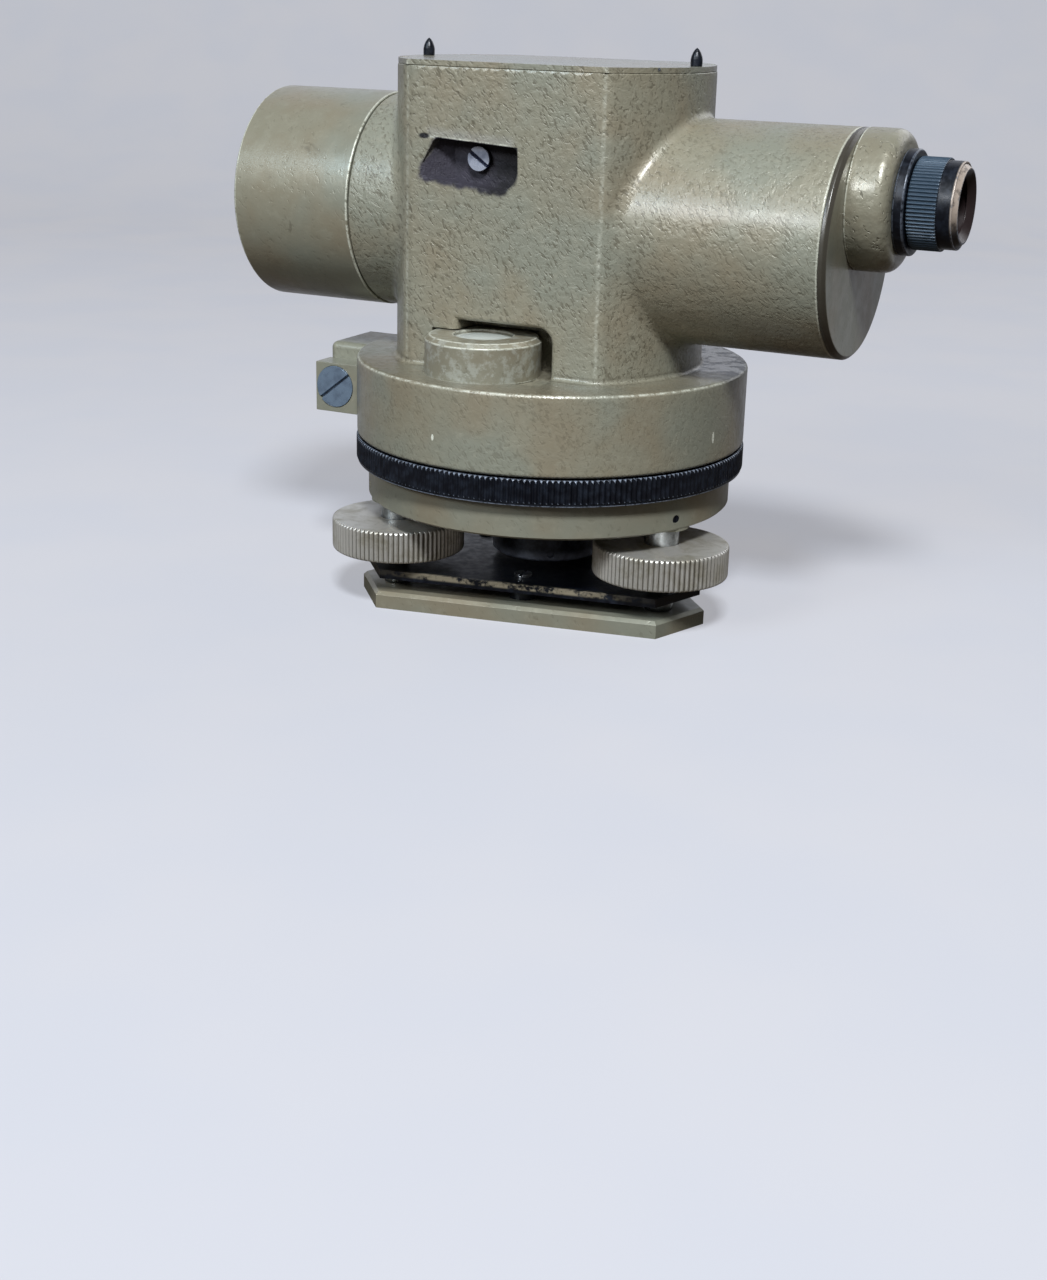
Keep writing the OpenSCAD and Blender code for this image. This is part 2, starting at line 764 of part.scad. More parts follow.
// Hanging frame of the compensator with arms, cross bars and the weight
module pendulum_carrier() {
  arm_y = 11;
  arm_t = 2;
  color(brass) difference() {
    union() {
      for (s = [-1, 1]) translate([pivot_x - 3, s * arm_y - arm_t / 2, 92])
        cube([6, arm_t, carrier_top - 92]);
      translate([pivot_x - 3, -arm_y, carrier_top - 4]) cube([6, 2 * arm_y, 4]);
      translate([pivot_x - 6, -arm_y, 92]) cube([12, 2 * arm_y, 7]);
      translate([damper_x, 0, 85]) cylinder(r = 1.2, h = 8);
    }
    for (s = [-1, 1]) translate([pivot_x - 2.2, s * 6 - 2, carrier_top - 3]) cube([4.4, 4, 4]);
  }
}

// Lower prism, on the hanging frame at the objective's axis
module swing_prism() {
  color(glass) translate([pivot_x, 7, 99]) rotate([90, 0, 0]) linear_extrude(14)
    polygon([[-prism / 2, 0], [prism / 2, 0], [prism / 2, prism]]);
}

// Piston and cylinder of the air damper
module damper_piston() {
  color(brass) translate([damper_x, 0, 81]) difference() {
    cylinder(r = damper_r, h = 4);
    translate([0, 0, 1.5]) cylinder(r = damper_r - 1.5, h = 1.2);
  }
}
module damper_cylinder() {
  color(brass) translate([damper_x, 0, tower_in_z + 4]) difference() {
    cylinder(r = damper_r + 2, h = 14);
    translate([0, 0, 2]) cylinder(r = damper_r + 0.6, h = 14);
  }
}

// Thin crossed ribbons that carry the pendulum
module suspension_ribbons() {
  color(steel) for (s = [-1, 1]) for (k = [-1, 1])
    translate([pivot_x + k * 0.6 - 0.05, s * 6 + k * 0.9 - 0.7, carrier_top - 2.6])
      cube([0.1, 1.4, pivot_z - carrier_top + 2.6]);
}

// Cell and glass of the reticle
module reticle_cell() {
  color(dark) turned_x([[72.4, 6.5], [72.4, eye_bore_r - play], [77, eye_bore_r - play], [77, 7.55],
    [74, 7.55], [74, 6.5]], eye_z);
}
module reticle_glass() {
  color(glass) rod_x(7.5, 74.1, 75.9, eye_z);
}

// Rear cover of the tube, bevelled, with a hole for the eyepiece boss
module rear_cover() {
  bevel = 0.9;
  color(bronze) difference() {
    turned_x([[tube_end, 0], [tube_end, tube_r], [cover_end - bevel, tube_r],
      [cover_end, tube_r - bevel], [cover_end, 0]], tube_z);
    rod_x(spigot_eye_r, tube_end - cut, cover_end + cut, eye_z);
  }
}

// Offset boss that carries the eyepiece, with a spigot through the cover
module eyepiece_boss() {
  round = [for (k = [0:5]) let (a = 18 * k)
    [boss_end - boss_round * (1 - sin(a)), boss_r - boss_round * (1 - cos(a))]];
  color(bronze) turned_x(concat([[72, eye_bore_r], [72, spigot_eye_r - play],
    [cover_end, spigot_eye_r - play], [cover_end, boss_r]], round, [[boss_end, eye_bore_r]]), eye_z);
}

// Black collar at the root of the eyepiece
module eyepiece_collar() {
  color(dark) turned_x([[boss_end, eye_bore_r], [boss_end, collar_r], [collar_end - 0.5, collar_r],
    [collar_end, collar_r - 0.5], [collar_end, eye_bore_r]], eye_z);
}

// Knurled ring and eye shell that focus the cross lines
module dioptre_ring() {
  start = collar_end + 0.25;
  color(dark) union() {
    difference() {
      translate([start, 0, eye_z]) rotate([0, 90, 0])
        knurled_knob(dioptre_r, knurl_end - start, dioptre_teeth, 0.45, 0.3);
      rod_x(ocular_r + play, start - cut, knurl_end + cut, eye_z);
    }
    turned_x([[88, ocular_r + play], [88, eye_bore_r - play], [start + 1, eye_bore_r - play],
      [start + 1, ocular_r + play]], eye_z);
    turned_x([[knurl_end - 1, ocular_r + play], [knurl_end - 1, band_r], [band_end, band_r],
      [band_end + 0.2, eye_end_r], [eye_end - 0.3, eye_end_r], [eye_end, eye_end_r - 0.4],
      [eye_end, 8.6], [105.6, 6.6], [105.6, ocular_r + play]], eye_z);
  }
}

// Sliding tube of the eyepiece and its two lenses
module ocular_tube() {
  color(dark) turned_x([[84, 6.2], [84, ocular_r], [103, ocular_r], [103, 6.2]], eye_z);
}
module ocular_lenses() {
  color(glass) union() {
    turned_x([[85.5, 0], [86.2, 6.15], [87.6, 6.15], [87.6, 0]], eye_z);
    turned_x([[99, 0], [99, 6.15], [100.6, 6.15], [101.6, 0]], eye_z);
  }
}

// Round housing of the circular bubble, chamfered on top
module bubble_housing() {
  chamfer = 1.3;
  color(bronze) translate([bubble_x, bubble_y, ring_top]) rotate_extrude()
    polygon([[0, 0], [bubble_r, 0], [bubble_r, bubble_h - chamfer], [bubble_r - chamfer, bubble_h],
      [vial_r, bubble_h], [vial_r, vial_low], [0, vial_low]]);
}

// Glass of the circular bubble, slightly domed
module bubble_vial() {
  top = bubble_h - vial_low - 0.2;
  r = vial_r - play;
  color(glass) translate([bubble_x, bubble_y, ring_top + vial_low]) rotate_extrude()
    polygon([[0, 0], [r, 0], [r, top - 0.6], [r * 0.75, top - 0.3], [r * 0.4, top - 0.08], [0, top]]);
}

// Adjusting screw in the recess of the front flat
module recess_screw() {
  color(steel) translate([recess_screw_x, recess_y, recess_screw_z]) rotate([90, 35, 0])
    slotted_screw(3, 1.8, 1.15, 1.4, 1);
}

base_plate();
tripod_bush();
spring_plate();
spring_plate_posts();
spring_plate_screws();
tribrach_head();
foot_bushes();
foot_grub_screws();
axis_socket();
hub_cup();
foot_knob_a();
foot_knob_b();
foot_knob_c();
foot_spindle_a();
foot_spindle_b();
foot_spindle_c();
circle_ring();
circle_plate();
clamp_collar();
housing();
axis_spindle();
spindle_nut();
lid();
lid_screws();
front_sight();
rear_sight();
tangent_block();
tangent_plug();
tangent_knob();
tangent_rod();
spring_plunger();
objective_sleeve();
lens_cell();
crown_lens();
flint_lens();
lens_ring();
focus_guide();
focus_bush();
focus_knob();
focus_pinion();
focus_tube();
focus_lens();
compensator_frame();
fixed_prism();
damper_cylinder();
suspension_ribbons();
pendulum_carrier();
swing_prism();
damper_piston();
reticle_cell();
reticle_glass();
rear_cover();
eyepiece_boss();
eyepiece_collar();
dioptre_ring();
ocular_tube();
ocular_lenses();
bubble_housing();
bubble_vial();
recess_screw();
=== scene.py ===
"""Looks of the optical level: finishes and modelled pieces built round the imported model.

Lengths in the tables below are millimetres in the model's own frame; MM turns them into metres.
"""
import json
import math

import bmesh
import bpy
import numpy as np
from mathutils import Matrix, Vector


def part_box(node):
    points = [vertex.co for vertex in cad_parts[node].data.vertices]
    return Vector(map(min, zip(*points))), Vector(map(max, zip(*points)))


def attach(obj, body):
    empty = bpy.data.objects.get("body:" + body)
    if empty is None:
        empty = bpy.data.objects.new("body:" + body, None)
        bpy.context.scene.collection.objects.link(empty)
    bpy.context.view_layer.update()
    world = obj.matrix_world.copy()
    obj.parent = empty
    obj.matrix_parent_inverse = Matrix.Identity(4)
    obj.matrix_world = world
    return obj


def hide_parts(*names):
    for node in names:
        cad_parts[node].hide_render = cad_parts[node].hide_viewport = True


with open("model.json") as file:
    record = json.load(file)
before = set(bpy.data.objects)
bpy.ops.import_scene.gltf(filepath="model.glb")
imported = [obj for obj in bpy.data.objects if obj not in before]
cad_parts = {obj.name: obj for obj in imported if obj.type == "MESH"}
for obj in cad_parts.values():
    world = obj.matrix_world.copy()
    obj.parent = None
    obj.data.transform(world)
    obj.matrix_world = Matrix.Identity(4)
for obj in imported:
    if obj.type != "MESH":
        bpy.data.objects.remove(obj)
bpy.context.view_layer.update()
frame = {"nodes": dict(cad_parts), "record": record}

MM = 0.001

# What the record says of each node
BODY = {node: body for body, nodes in frame["record"]["behaviour"]["bodies"].items() for node in nodes}
SLOT = {part["node"]: part["material_slot"] for part in frame["record"]["subparts"]}


def box_mm(node):
    """Lowest and highest corner of a node, in millimetres."""
    low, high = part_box(node)
    return np.array(low) / MM, np.array(high) / MM


# Sizes read off the model
CIRCLE_LOW, CIRCLE_HIGH = box_mm("circle_ring")
HOUSING_LOW, HOUSING_HIGH = box_mm("housing")
SLEEVE_LOW, SLEEVE_HIGH = box_mm("objective_sleeve")
COVER_LOW, COVER_HIGH = box_mm("rear_cover")
BOSS_LOW, BOSS_HIGH = box_mm("eyepiece_boss")
COLLAR_LOW, COLLAR_HIGH = box_mm("eyepiece_collar")
DIOPTRE_END = box_mm("dioptre_ring")[1][0]
BUBBLE_LOW, BUBBLE_HIGH = box_mm("bubble_housing")

# Round base and tower of the housing
RING_R = HOUSING_HIGH[1]
RING_LOW = HOUSING_LOW[2]
RING_TOP = BUBBLE_LOW[2]
RING_EDGE = 1.0
TOWER_X = -1.0
TOWER_R = 40.9
FLAT_Y = 30.5
FRONT_Y = -FLAT_Y - 8
TOWER_TOP = HOUSING_HIGH[2]
TOWER_CORNER = 1.6
TOWER_FOOT = 1.2
WALL = 3.2
FLOOR_TOP = 70.0
CAVITY_R = RING_R - 6
CAVITY_TOP = RING_TOP - 5

# Tubes of the housing
TUBE_R = 28.0
TUBE_Z = 101.3
TUBE_END = COVER_LOW[0]
NECK_Z = (SLEEVE_LOW[2] + SLEEVE_HIGH[2]) / 2
NECK_END = -47.0
BORE_R = 24.5
TUBE_FILLET = 2.0

# Pocket of the bubble and recess of the adjusting screw
BUBBLE_X = (BUBBLE_LOW[0] + BUBBLE_HIGH[0]) / 2
BUBBLE_Y = (BUBBLE_LOW[1] + BUBBLE_HIGH[1]) / 2
BUBBLE_R = (BUBBLE_HIGH[0] - BUBBLE_LOW[0]) / 2
POCKET_GAP = 0.3
POCKET_WALL = 2.4
WINDOW_X = (-13.0, 13.7)
WINDOW_TOP = 78.1
WINDOW_BACK = -20.0
WINDOW_ROUND = 4.0
# Corners of the recess: x, z and radius
RECESS_CORNERS = ((-23.6, 114.4, 1.0), (-19.4, 121.9, 1.0), (2.1, 120.7, 0.9), (-2.9, 117.2, 6.0))
RECESS_SIDES = tuple(zip(RECESS_CORNERS, RECESS_CORNERS[1:] + RECESS_CORNERS[:1]))
RECESS_Y = -25.0
RAMP_FOOT_X = -17.0
SLOT_FLOOR_Y = -26.4
# Left end of the worn line over the recess
NOTCH_X = -23.0
NOTCH_Z = 123.3

# Tangent screw: its axis, and the box of its housing
TAN_X = -59.0
TAN_Z = 52.65
TAN_BOX = ((-65.65, -7.5, 45.8), (-41.65, 14.0, 64.0))

# Spring plate: turn of its front side, and its distance from the axis
FOOT_TURN = 10.7
SPRING_FRONT = 32.1
SPRING_TOP = 10.4

# Focusing pinion
PINION_X = -14.0
PINION_Z = 84.2

# Eyepiece
EYE_BORE = 9.6
EYE_KNURL_END = 102.7
EYE_Z = (BOSS_LOW[2] + BOSS_HIGH[2]) / 2


def linear(red, green, blue, alpha=1.0):
    """Scene colour of an 8 bit screen colour."""
    def one(value):
        value /= 255
        return value / 12.92 if value <= 0.04045 else ((value + 0.055) / 1.055) ** 2.4
    return one(red), one(green), one(blue), alpha


class Finish:
    """Builds one material's nodes round a Principled shader."""

    def __init__(self, name, roughness=0.5, metallic=0.0, **sockets):
        self.material = bpy.data.materials.new(name)
        self.material.use_nodes = True
        self.tree = self.material.node_tree
        self.tree.nodes.clear()
        output = self.tree.nodes.new("ShaderNodeOutputMaterial")
        self.shader = self.tree.nodes.new("ShaderNodeBsdfPrincipled")
        self.tree.links.new(self.shader.outputs[0], output.inputs["Surface"])
        self.place = self.tree.nodes.new("ShaderNodeTexCoord").outputs["Object"]
        self.set(**{"Roughness": roughness, "Metallic": metallic, **sockets})

    def set(self, **sockets):
        """Sets or links the Principled shader's sockets."""
        for name, value in sockets.items():
            self.join(self.shader.inputs[name.replace("_", " ")], value)

    def join(self, socket, value):
        if isinstance(value, bpy.types.NodeSocket):
            self.tree.links.new(value, socket)
        else:
            socket.default_value = value

    def add(self, kind, inputs, **settings):
        """A node with its settings and its inputs by name or number."""
        node = self.tree.nodes.new(kind)
        for name, value in settings.items():
            setattr(node, name, value)
        for name, value in inputs.items():
            self.join(node.inputs[name], value)
        return node

    def math(self, operation, a, b=0.0, clamp=False):
        return self.add("ShaderNodeMath", {0: a, 1: b}, operation=operation, use_clamp=clamp).outputs[0]

    def plus(self, a, b, clamp=False):
        return self.math("ADD", a, b, clamp)

    def less(self, a, b, clamp=False):
        return self.math("SUBTRACT", a, b, clamp)

    def larger(self, a, b):
        return self.math("MAXIMUM", a, b)

    def times(self, *factors):
        product = factors[0]
        for factor in factors[1:]:
            product = self.math("MULTIPLY", product, factor)
        return product

    def length(self, u, v):
        """Length of a vector in a plane."""
        return self.math("SQRT", self.plus(self.times(u, u), self.times(v, v)))

    def noise(self, size, detail=2.0, rough=0.5, place=None, warp=0.0):
        """Noise whose features are about size millimetres across."""
        return self.add("ShaderNodeTexNoise", {
            "Vector": self.place if place is None else place, "Scale": 1 / (size * MM),
            "Detail": detail, "Roughness": rough, "Distortion": warp}).outputs["Fac"]

    def stretched(self, scale, turn=(0, 0, 0), centre=(0, 0, 0)):
        """Places from a centre, for features drawn out by scale along the axes and then turned."""
        return self.add("ShaderNodeMapping", {
            "Vector": self.place, "Location": [c * MM for c in centre],
            "Rotation": [math.radians(t) for t in turn], "Scale": scale}, vector_type="TEXTURE").outputs[0]

    def span(self, value, low, high, to_low=0.0, to_high=1.0):
        """Maps low..high smoothly onto to_low..to_high."""
        return self.add("ShaderNodeMapRange", {
            "Value": value, "From Min": low, "From Max": high, "To Min": to_low, "To Max": to_high},
            interpolation_type="SMOOTHSTEP").outputs[0]

    def near(self, value, place, width):
        """1 where value is within width of place, falling off smoothly."""
        return self.span(self.math("ABSOLUTE", self.less(value, place)), 0, width, 1, 0)

    def rounded(self, a, b, radius):
        """Distance outside both of two lines, with their corner rounded."""
        reach = [self.larger(self.plus(side, radius), 0) for side in (a, b)]
        return self.less(self.length(*reach), radius)

    def blend(self, share, a, b):
        """Colour a where share is 0 and b where it is 1."""
        node = self.add("ShaderNodeMix", {"Factor": share}, data_type="RGBA")
        self.join(node.inputs[6], a)
        self.join(node.inputs[7], b)
        return node.outputs[2]

    def layered(self, colour, *layers):
        """A colour with (share, colour) layers laid over it, one after another."""
        for share, tone in layers:
            colour = self.blend(share, colour, tone)
        return colour

    def axis(self, name):
        """One coordinate of the place, in millimetres."""
        return self.math("DIVIDE", self.add("ShaderNodeSeparateXYZ", {0: self.place}).outputs[name], MM)

    def attribute(self, name):
        return self.add("ShaderNodeAttribute", {}, attribute_name=name).outputs["Fac"]

    def finished(self, colour, rough, *layers):
        """The material, with (height, distance in millimetres, strength) layers stacked into its normal."""
        normal = None
        for height, distance, strength in layers:
            inputs = {"Height": height, "Distance": distance * MM, "Strength": strength}
            if normal is not None:
                inputs["Normal"] = normal
            normal = self.add("ShaderNodeBump", inputs).outputs[0]
        if normal is not None:
            self.join(self.shader.inputs["Normal"], normal)
        self.set(Base_Color=colour, Roughness=rough)
        return self.material


def touching_line(u, v, a, b, finish=None):
    """Distance outside the line that touches discs a and b, on its left side from a to b.

    u and v are numbers, or with a finish its sockets.
    """
    du, dv = b[0] - a[0], b[1] - a[1]
    length = math.hypot(du, dv)
    lean = (a[2] - b[2]) / length
    level = math.sqrt(1 - lean * lean)
    nu, nv = (lean * du - level * dv) / length, (lean * dv + level * du) / length
    away = nu * a[0] + nv * a[1] + a[2]
    if finish is None:
        return nu * u + nv * v - away
    return finish.plus(finish.times(u, nu), finish.less(finish.times(v, nv), away))


# Clear top layer of the paint
GLOSS = {"Coat Weight": 0.38, "Coat Roughness": 0.22}

# Paint colours
PAINT = linear(133, 129, 112)
PAINT_COOL = linear(129, 131, 118)
PAINT_WARM = linear(132, 124, 105)
PAINT_PALE = linear(148, 145, 128)
PAINT_WORN = linear(176, 178, 168)
PIT = linear(84, 78, 62)
BARE = linear(212, 213, 198)
PAINTED_SHEEN = linear(150, 150, 148)
GRIME_AND_SHADE = linear(66, 58, 44)
# Colour of painted shade
SHADE = linear(48, 44, 38)
RUBBED = linear(150, 160, 176)
PAINTED_DARK_PATCH = linear(44, 48, 58)
INK = linear(54, 51, 61)
NEAR_BLACK = linear(22, 21, 25)


def paint_colour(finish, pits, grime_at=0.66):
    """Olive grey paint: large cloudy patches, faint mottling and darker pits."""
    cloud = finish.noise(16, 3)
    cool = finish.noise(29, 2)
    mottle = finish.noise(2.6, 3, 0.6)
    grime = finish.noise(6, 5, 0.7, warp=0.6)
    return finish.layered(
        PAINT_WARM, (finish.span(cloud, 0.36, 0.66), PAINT),
        (finish.span(cool, 0.42, 0.62, 0, 0.8), PAINT_COOL),
        (finish.span(mottle, 0.5, 0.75, 0, 0.35), PAINT_PALE), (pits, PIT),
        (finish.span(grime, grime_at, grime_at + 0.14, 0, 0.4), GRIME_AND_SHADE))


def streak_pits(finish, low, high, size=0.8):
    """1 in short hollows that run down to the right, as the hammered paint set."""
    place = finish.stretched((1, 1, 2.2), (0, -38, 0))
    fine = finish.noise(size, 1.5, 0.5, place=place, warp=0.7)
    patch = finish.noise(7, 2)
    return finish.span(finish.plus(fine, finish.span(patch, 0.3, 0.7, -0.04, 0.04)), low, high)


def hammertone(name, sheen=GLOSS["Coat Weight"]):
    """Hammered paint of the castings, calmer on the round base; sheen is its clear layer's weight."""
    finish = Finish(name, metallic=0.12, **GLOSS)
    calm = finish.span(finish.axis("Z"), RING_TOP - 1.5, RING_TOP + 1, 0.5, 1)
    pits = finish.times(streak_pits(finish, 0.5, 0.72), calm)
    swell = finish.noise(2.0, 3, 0.6, warp=0.6)
    faint = finish.span(finish.axis("X"), 34, 44, 0.6, 0.35)
    # Nooks darkened with dirt and painted shade
    nook = finish.times(finish.span(finish.attribute("nook"), 0.3, 0.8, 0, 0.75),
                        finish.span(finish.noise(4, 4, 0.7), 0.3, 0.6, 0.35, 1))
    # Painted sheen and a worn line with painted highlight above the recess
    painted_sheen, ledge, notch = recess_ledge(finish)
    # Darker top face of the base, and a painted dark patch of shadow and reflection beside the rear tube
    dull, wet, stain = base_top(finish)
    # Black paint of the recess, with painted shadow in its deep end
    ink, ink_colour = recess_ink(finish)
    colour = finish.layered(
        paint_colour(finish, finish.times(pits, faint)), (housing_edges(finish), BARE),
        (chips(finish), BARE), (painted_sheen, PAINTED_SHEEN), (ledge, BARE), (notch, NEAR_BLACK), (nook, GRIME_AND_SHADE),
        (dull, GRIME_AND_SHADE), (stain, PAINTED_DARK_PATCH), (ink, ink_colour))
    rough = finish.span(finish.noise(3, 3), 0.3, 0.7, 0.34, 0.48)
    finish.set(Coat_Weight=finish.times(finish.less(1, ink), finish.larger(wet, sheen)))
    return finish.finished(colour, finish.plus(rough, finish.times(ink, 0.3)),
                           (finish.times(swell, calm), 0.45, 0.6), (finish.less(1, pits), 0.12, 0.6))


def housing_edges(finish):
    """Share of bare metal along the tower's corners, the tube's end and the rim of the round base."""
    x, y, z = map(finish.axis, "XYZ")
    tower_r = finish.length(finish.less(x, TOWER_X), y)
    corner = finish.times(finish.near(tower_r, TOWER_R - 0.3, 0.6),
                          finish.near(finish.math("ABSOLUTE", y), FLAT_Y - 0.3, 0.45),
                          finish.span(z, RING_TOP + 1, RING_TOP + 3, 0, 0.7))
    rim = finish.times(finish.near(finish.length(x, y), RING_R - 0.3, 0.55),
                       finish.near(z, RING_TOP - 0.3, 0.55))
    flaked = finish.span(finish.noise(1.3, 3, 0.7), 0.38, 0.62, 0.1, 0.75)
    tube_end = finish.times(finish.near(x, TUBE_END - 0.25, 0.35), 0.5)
    return finish.larger(finish.times(finish.larger(corner, rim), flaked), tube_end)


def base_top(finish):
    """Shares on top of the round base: a darkening of its whole top face, and beside the rear tube a wet
    shine and a painted dark patch of shadow and dark reflection.
    """
    x, y, z = map(finish.axis, "XYZ")
    top = finish.near(z, RING_TOP, 0.5)
    beside = finish.times(finish.span(x, 24, 30), finish.span(y, -4, 5), top)
    blot = finish.span(finish.noise(6, 4, 0.6), 0.47, 0.56, 0, 0.9)
    # A painted dark patch, standing for shadow and a dark reflection
    stain = finish.times(beside, blot)
    return finish.times(top, 0.3), finish.less(beside, stain, clamp=True), stain


# Small chips in the paint: place and half sizes
CHIPS = (
    ((51.4, -11.1, 51.6), (0.5, 0.5, 1.5)),
    ((-8.1, -52.0, 52.2), (0.4, 0.5, 0.9)),
    ((28.0, -30.3, TOWER_TOP), (1.6, 0.8, 0.9)),
)


def chips(finish):
    """1 on the small chips."""
    found = 0.0
    ragged = finish.times(finish.noise(0.8), 0.8)
    for place, half in CHIPS:
        scaled = finish.stretched([h * MM for h in half], centre=place)
        reach = finish.add("ShaderNodeVectorMath", {0: scaled}, operation="LENGTH").outputs["Value"]
        found = finish.larger(found, finish.span(finish.plus(reach, ragged), 1.25, 1.45, 1, 0))
    return found


def recess_ledge(finish):
    """Shares of the painted sheen above the recess, of the worn line along its top edge, which is also a
    painted highlight, and of the black notch at their left end.
    """
    x, y, z = map(finish.axis, "XYZ")
    top = touching_line(x, z, *RECESS_CORNERS[1:3], finish)
    face = finish.span(y, -FLAT_Y + 0.3, -FLAT_Y + 0.8, 1, 0)
    across = finish.times(finish.span(x, -23, -21), finish.span(x, 1, 3, 1, 0), face)
    worn = finish.span(finish.noise(2.4, 4, 0.7), 0.35, 0.6, 0.15, 0.6)
    # Worn line along the top edge, also a painted highlight
    ledge = finish.times(finish.span(top, -0.3, 0), finish.span(top, 0.35, 0.8, 1, 0), worn, across)
    # Painted sheen just above the recess
    painted_sheen = finish.times(finish.span(top, -0.3, 0.2), finish.span(top, 1, 3.4, 0.35, 0), across)
    reach = finish.length(finish.times(finish.less(x, NOTCH_X), 0.5),
                          finish.times(finish.less(z, NOTCH_Z), 1.1))
    return painted_sheen, ledge, finish.times(finish.span(reach, 0.5, 1.0, 1, 0), face)


def recess_ink(finish):
    """Share and colour of the black paint in the adjusting screw's recess, sprayed over its lower edge,
    with painted shadow in its deep right end.
    """
    x, y, z = map(finish.axis, "XYZ")
    left, top, right, low = (touching_line(x, z, *ends, finish) for ends in RECESS_SIDES)
    ragged = finish.span(finish.noise(2.6, 3, 0.5), 0.25, 0.75, 0.1, 1.1)
    round_low = finish.rounded(finish.less(low, ragged), right, RECESS_CORNERS[3][2] + 0.8)
    short_left = finish.less(finish.plus(left, 0.6), finish.times(ragged, 0.6))
    fuzzy = finish.span(finish.rounded(round_low, short_left, 3), -0.2, 1.2, 1, 0)
    crisp = finish.span(finish.larger(top, right), 0.1, 0.35, 1, 0)
    limits = ((x, -27, 0, 1), (x, 6, 1, 0), (z, 109, 0, 1), (z, 125, 1, 0), (y, -24, 1, 0))
    inside = [finish.span(side, at - 0.1, at + 0.1, *ends) for side, at, *ends in limits]
    smudge = finish.span(finish.noise(3, 4, 0.65), 0.45, 0.65, 0, 0.35)
    # Painted shadow: darker towards the deep right end, with random smudges
    dark = finish.plus(finish.span(x, -13, 0, 0, 0.9), smudge, clamp=True)
    return finish.times(fuzzy, crisp, *inside), finish.blend(dark, INK, NEAR_BLACK)


def satin_paint(name, relief=0.35, shade=0.0, bald=0.75, marks=()):
    """Smoother paint of the turned parts, worn bright along their edges and darkened in inner corners with
    dirt and painted shade.

    relief is the depth of its hollows, shade is the share of painted shade that darkens it, bald is where
    pale worn patches begin, and marks are functions that give a share, each with its colour.
    """
    finish = Finish(name, metallic=0.2, **GLOSS)
    pits = streak_pits(finish, 0.6, 0.74, 0.9)
    patches = finish.noise(3.2, 5, 0.7)
    edge = finish.attribute("edge")
    flaked = finish.span(finish.noise(1.2, 3, 0.7), 0.36, 0.52)
    colour = finish.layered(
        paint_colour(finish, finish.times(pits, min(0.3, 0.5 * relief)), 0.62),
        (finish.span(patches, bald, bald + 0.14, 0, 0.5), PAINT_WORN),
        (finish.times(finish.span(edge, 0.5, 0.95, 0, 0.65), flaked), BARE),
        # Inner corners darkened with dirt and painted shade
        (finish.span(edge, -0.1, -0.9, 0, 0.85), GRIME_AND_SHADE), (shade, SHADE),
        *((share(finish), tone) for share, tone in marks))
    rough = finish.span(finish.noise(4, 4), 0.3, 0.7, 0.3, 0.42)
    return finish.finished(colour, rough, (finish.noise(2.2, 3), 0.3 * relief, 0.5),
                           (finish.less(1, pits), 0.14 * relief, 0.7))


def black_finish(name, wear=0.75, dark=linear(10, 13, 21), greyed=linear(24, 30, 41), marks=()):
    """Blue black anodising, greyed where hands and edges rubbed it.

    marks are functions that give a share, each with its colour.
    """
    finish = Finish(name, metallic=0.25)
    rubbed = finish.noise(2.2, 4, 0.65)
    scratch = finish.span(finish.noise(0.8, 3, 0.7), 0.35, 0.55)
    colour = finish.layered(
        dark, (finish.span(rubbed, 0.4, 0.72), greyed),
        (finish.times(finish.span(finish.attribute("edge"), 0.8, 1.0, 0, wear), scratch), RUBBED),
        *((share(finish), tone) for share, tone in marks))
    rough = finish.span(rubbed, 0.3, 0.7, 0.28, 0.46)
    return finish.finished(colour, rough, (finish.noise(0.4, 2), 0.02, 0.4))


def hub_highlight_band(finish):
    """Painted highlight: a pale band low on the hub, where its satin black catches the light."""
    # Noise that breaks up the painted highlight band
    rubbed = finish.span(finish.noise(5, 4, 0.6), 0.3, 0.6, 0.35, 0.8)
    return finish.times(finish.near(finish.axis("Z"), 12.6, 2.6), rubbed)


def spring_streak(finish):
    """Paint worn off along the front edge of the spring plate."""
    turn = math.radians(FOOT_TURN - 90)
    ahead = finish.plus(finish.times(finish.axis("X"), math.cos(turn)),
                        finish.times(finish.axis("Y"), math.sin(turn)))
    edge = finish.span(ahead, SPRING_FRONT - 1.4, SPRING_FRONT - 0.5)
    high = finish.span(finish.axis("Z"), SPRING_TOP - 1.7, SPRING_TOP - 1.0)
    ragged = finish.span(finish.noise(3.5, 4, 0.7), 0.4, 0.54, 0, 0.9)
    return finish.times(edge, high, ragged, finish.near(finish.axis("X"), 4, 44))


def off_axis(finish, height):
    """Distance from a line along X at a height."""
    return finish.length(finish.axis("Y"), finish.less(finish.axis("Z"), height))


def eye_grip(finish):
    """Paler blue knurl of the eyepiece."""
    grip = finish.span(finish.axis("X"), EYE_KNURL_END - 0.3, EYE_KNURL_END + 0.1, 1, 0)
    return finish.times(grip, finish.span(finish.attribute("edge"), -1, 0.6, 0.55, 0.85))


def eye_bevel(finish):
    """Bare bevel of the eyepiece, where its black has gone, brighter on its upper near side as a painted
    highlight.
    """
    at_end = finish.span(finish.axis("X"), DIOPTRE_END - 1.7, DIOPTRE_END - 1.3)
    outside = finish.span(off_axis(finish, EYE_Z), 8.7, 8.9)
    # Painted highlight: stronger on the upper near side, which faces the light
    upper_near_side = finish.span(finish.less(finish.axis("Z"), finish.axis("Y")), EYE_Z + 1, EYE_Z + 9, 0.1, 1)
    ragged = finish.span(finish.noise(1.5, 3), 0.35, 0.5, 0.35, 0.8)
    return finish.times(at_end, outside, upper_near_side, ragged)


def eye_inside(finish):
    """Brown inside of the eye shell."""
    return finish.span(off_axis(finish, EYE_Z), 8.5, 8.7, 1, 0)


def cover_gap_shade(finish):
    """Painted shade in the gap round the rear cover."""
    return finish.span(off_axis(finish, TUBE_Z), TUBE_R - 1.2, TUBE_R - 0.7, 0, 0.9)


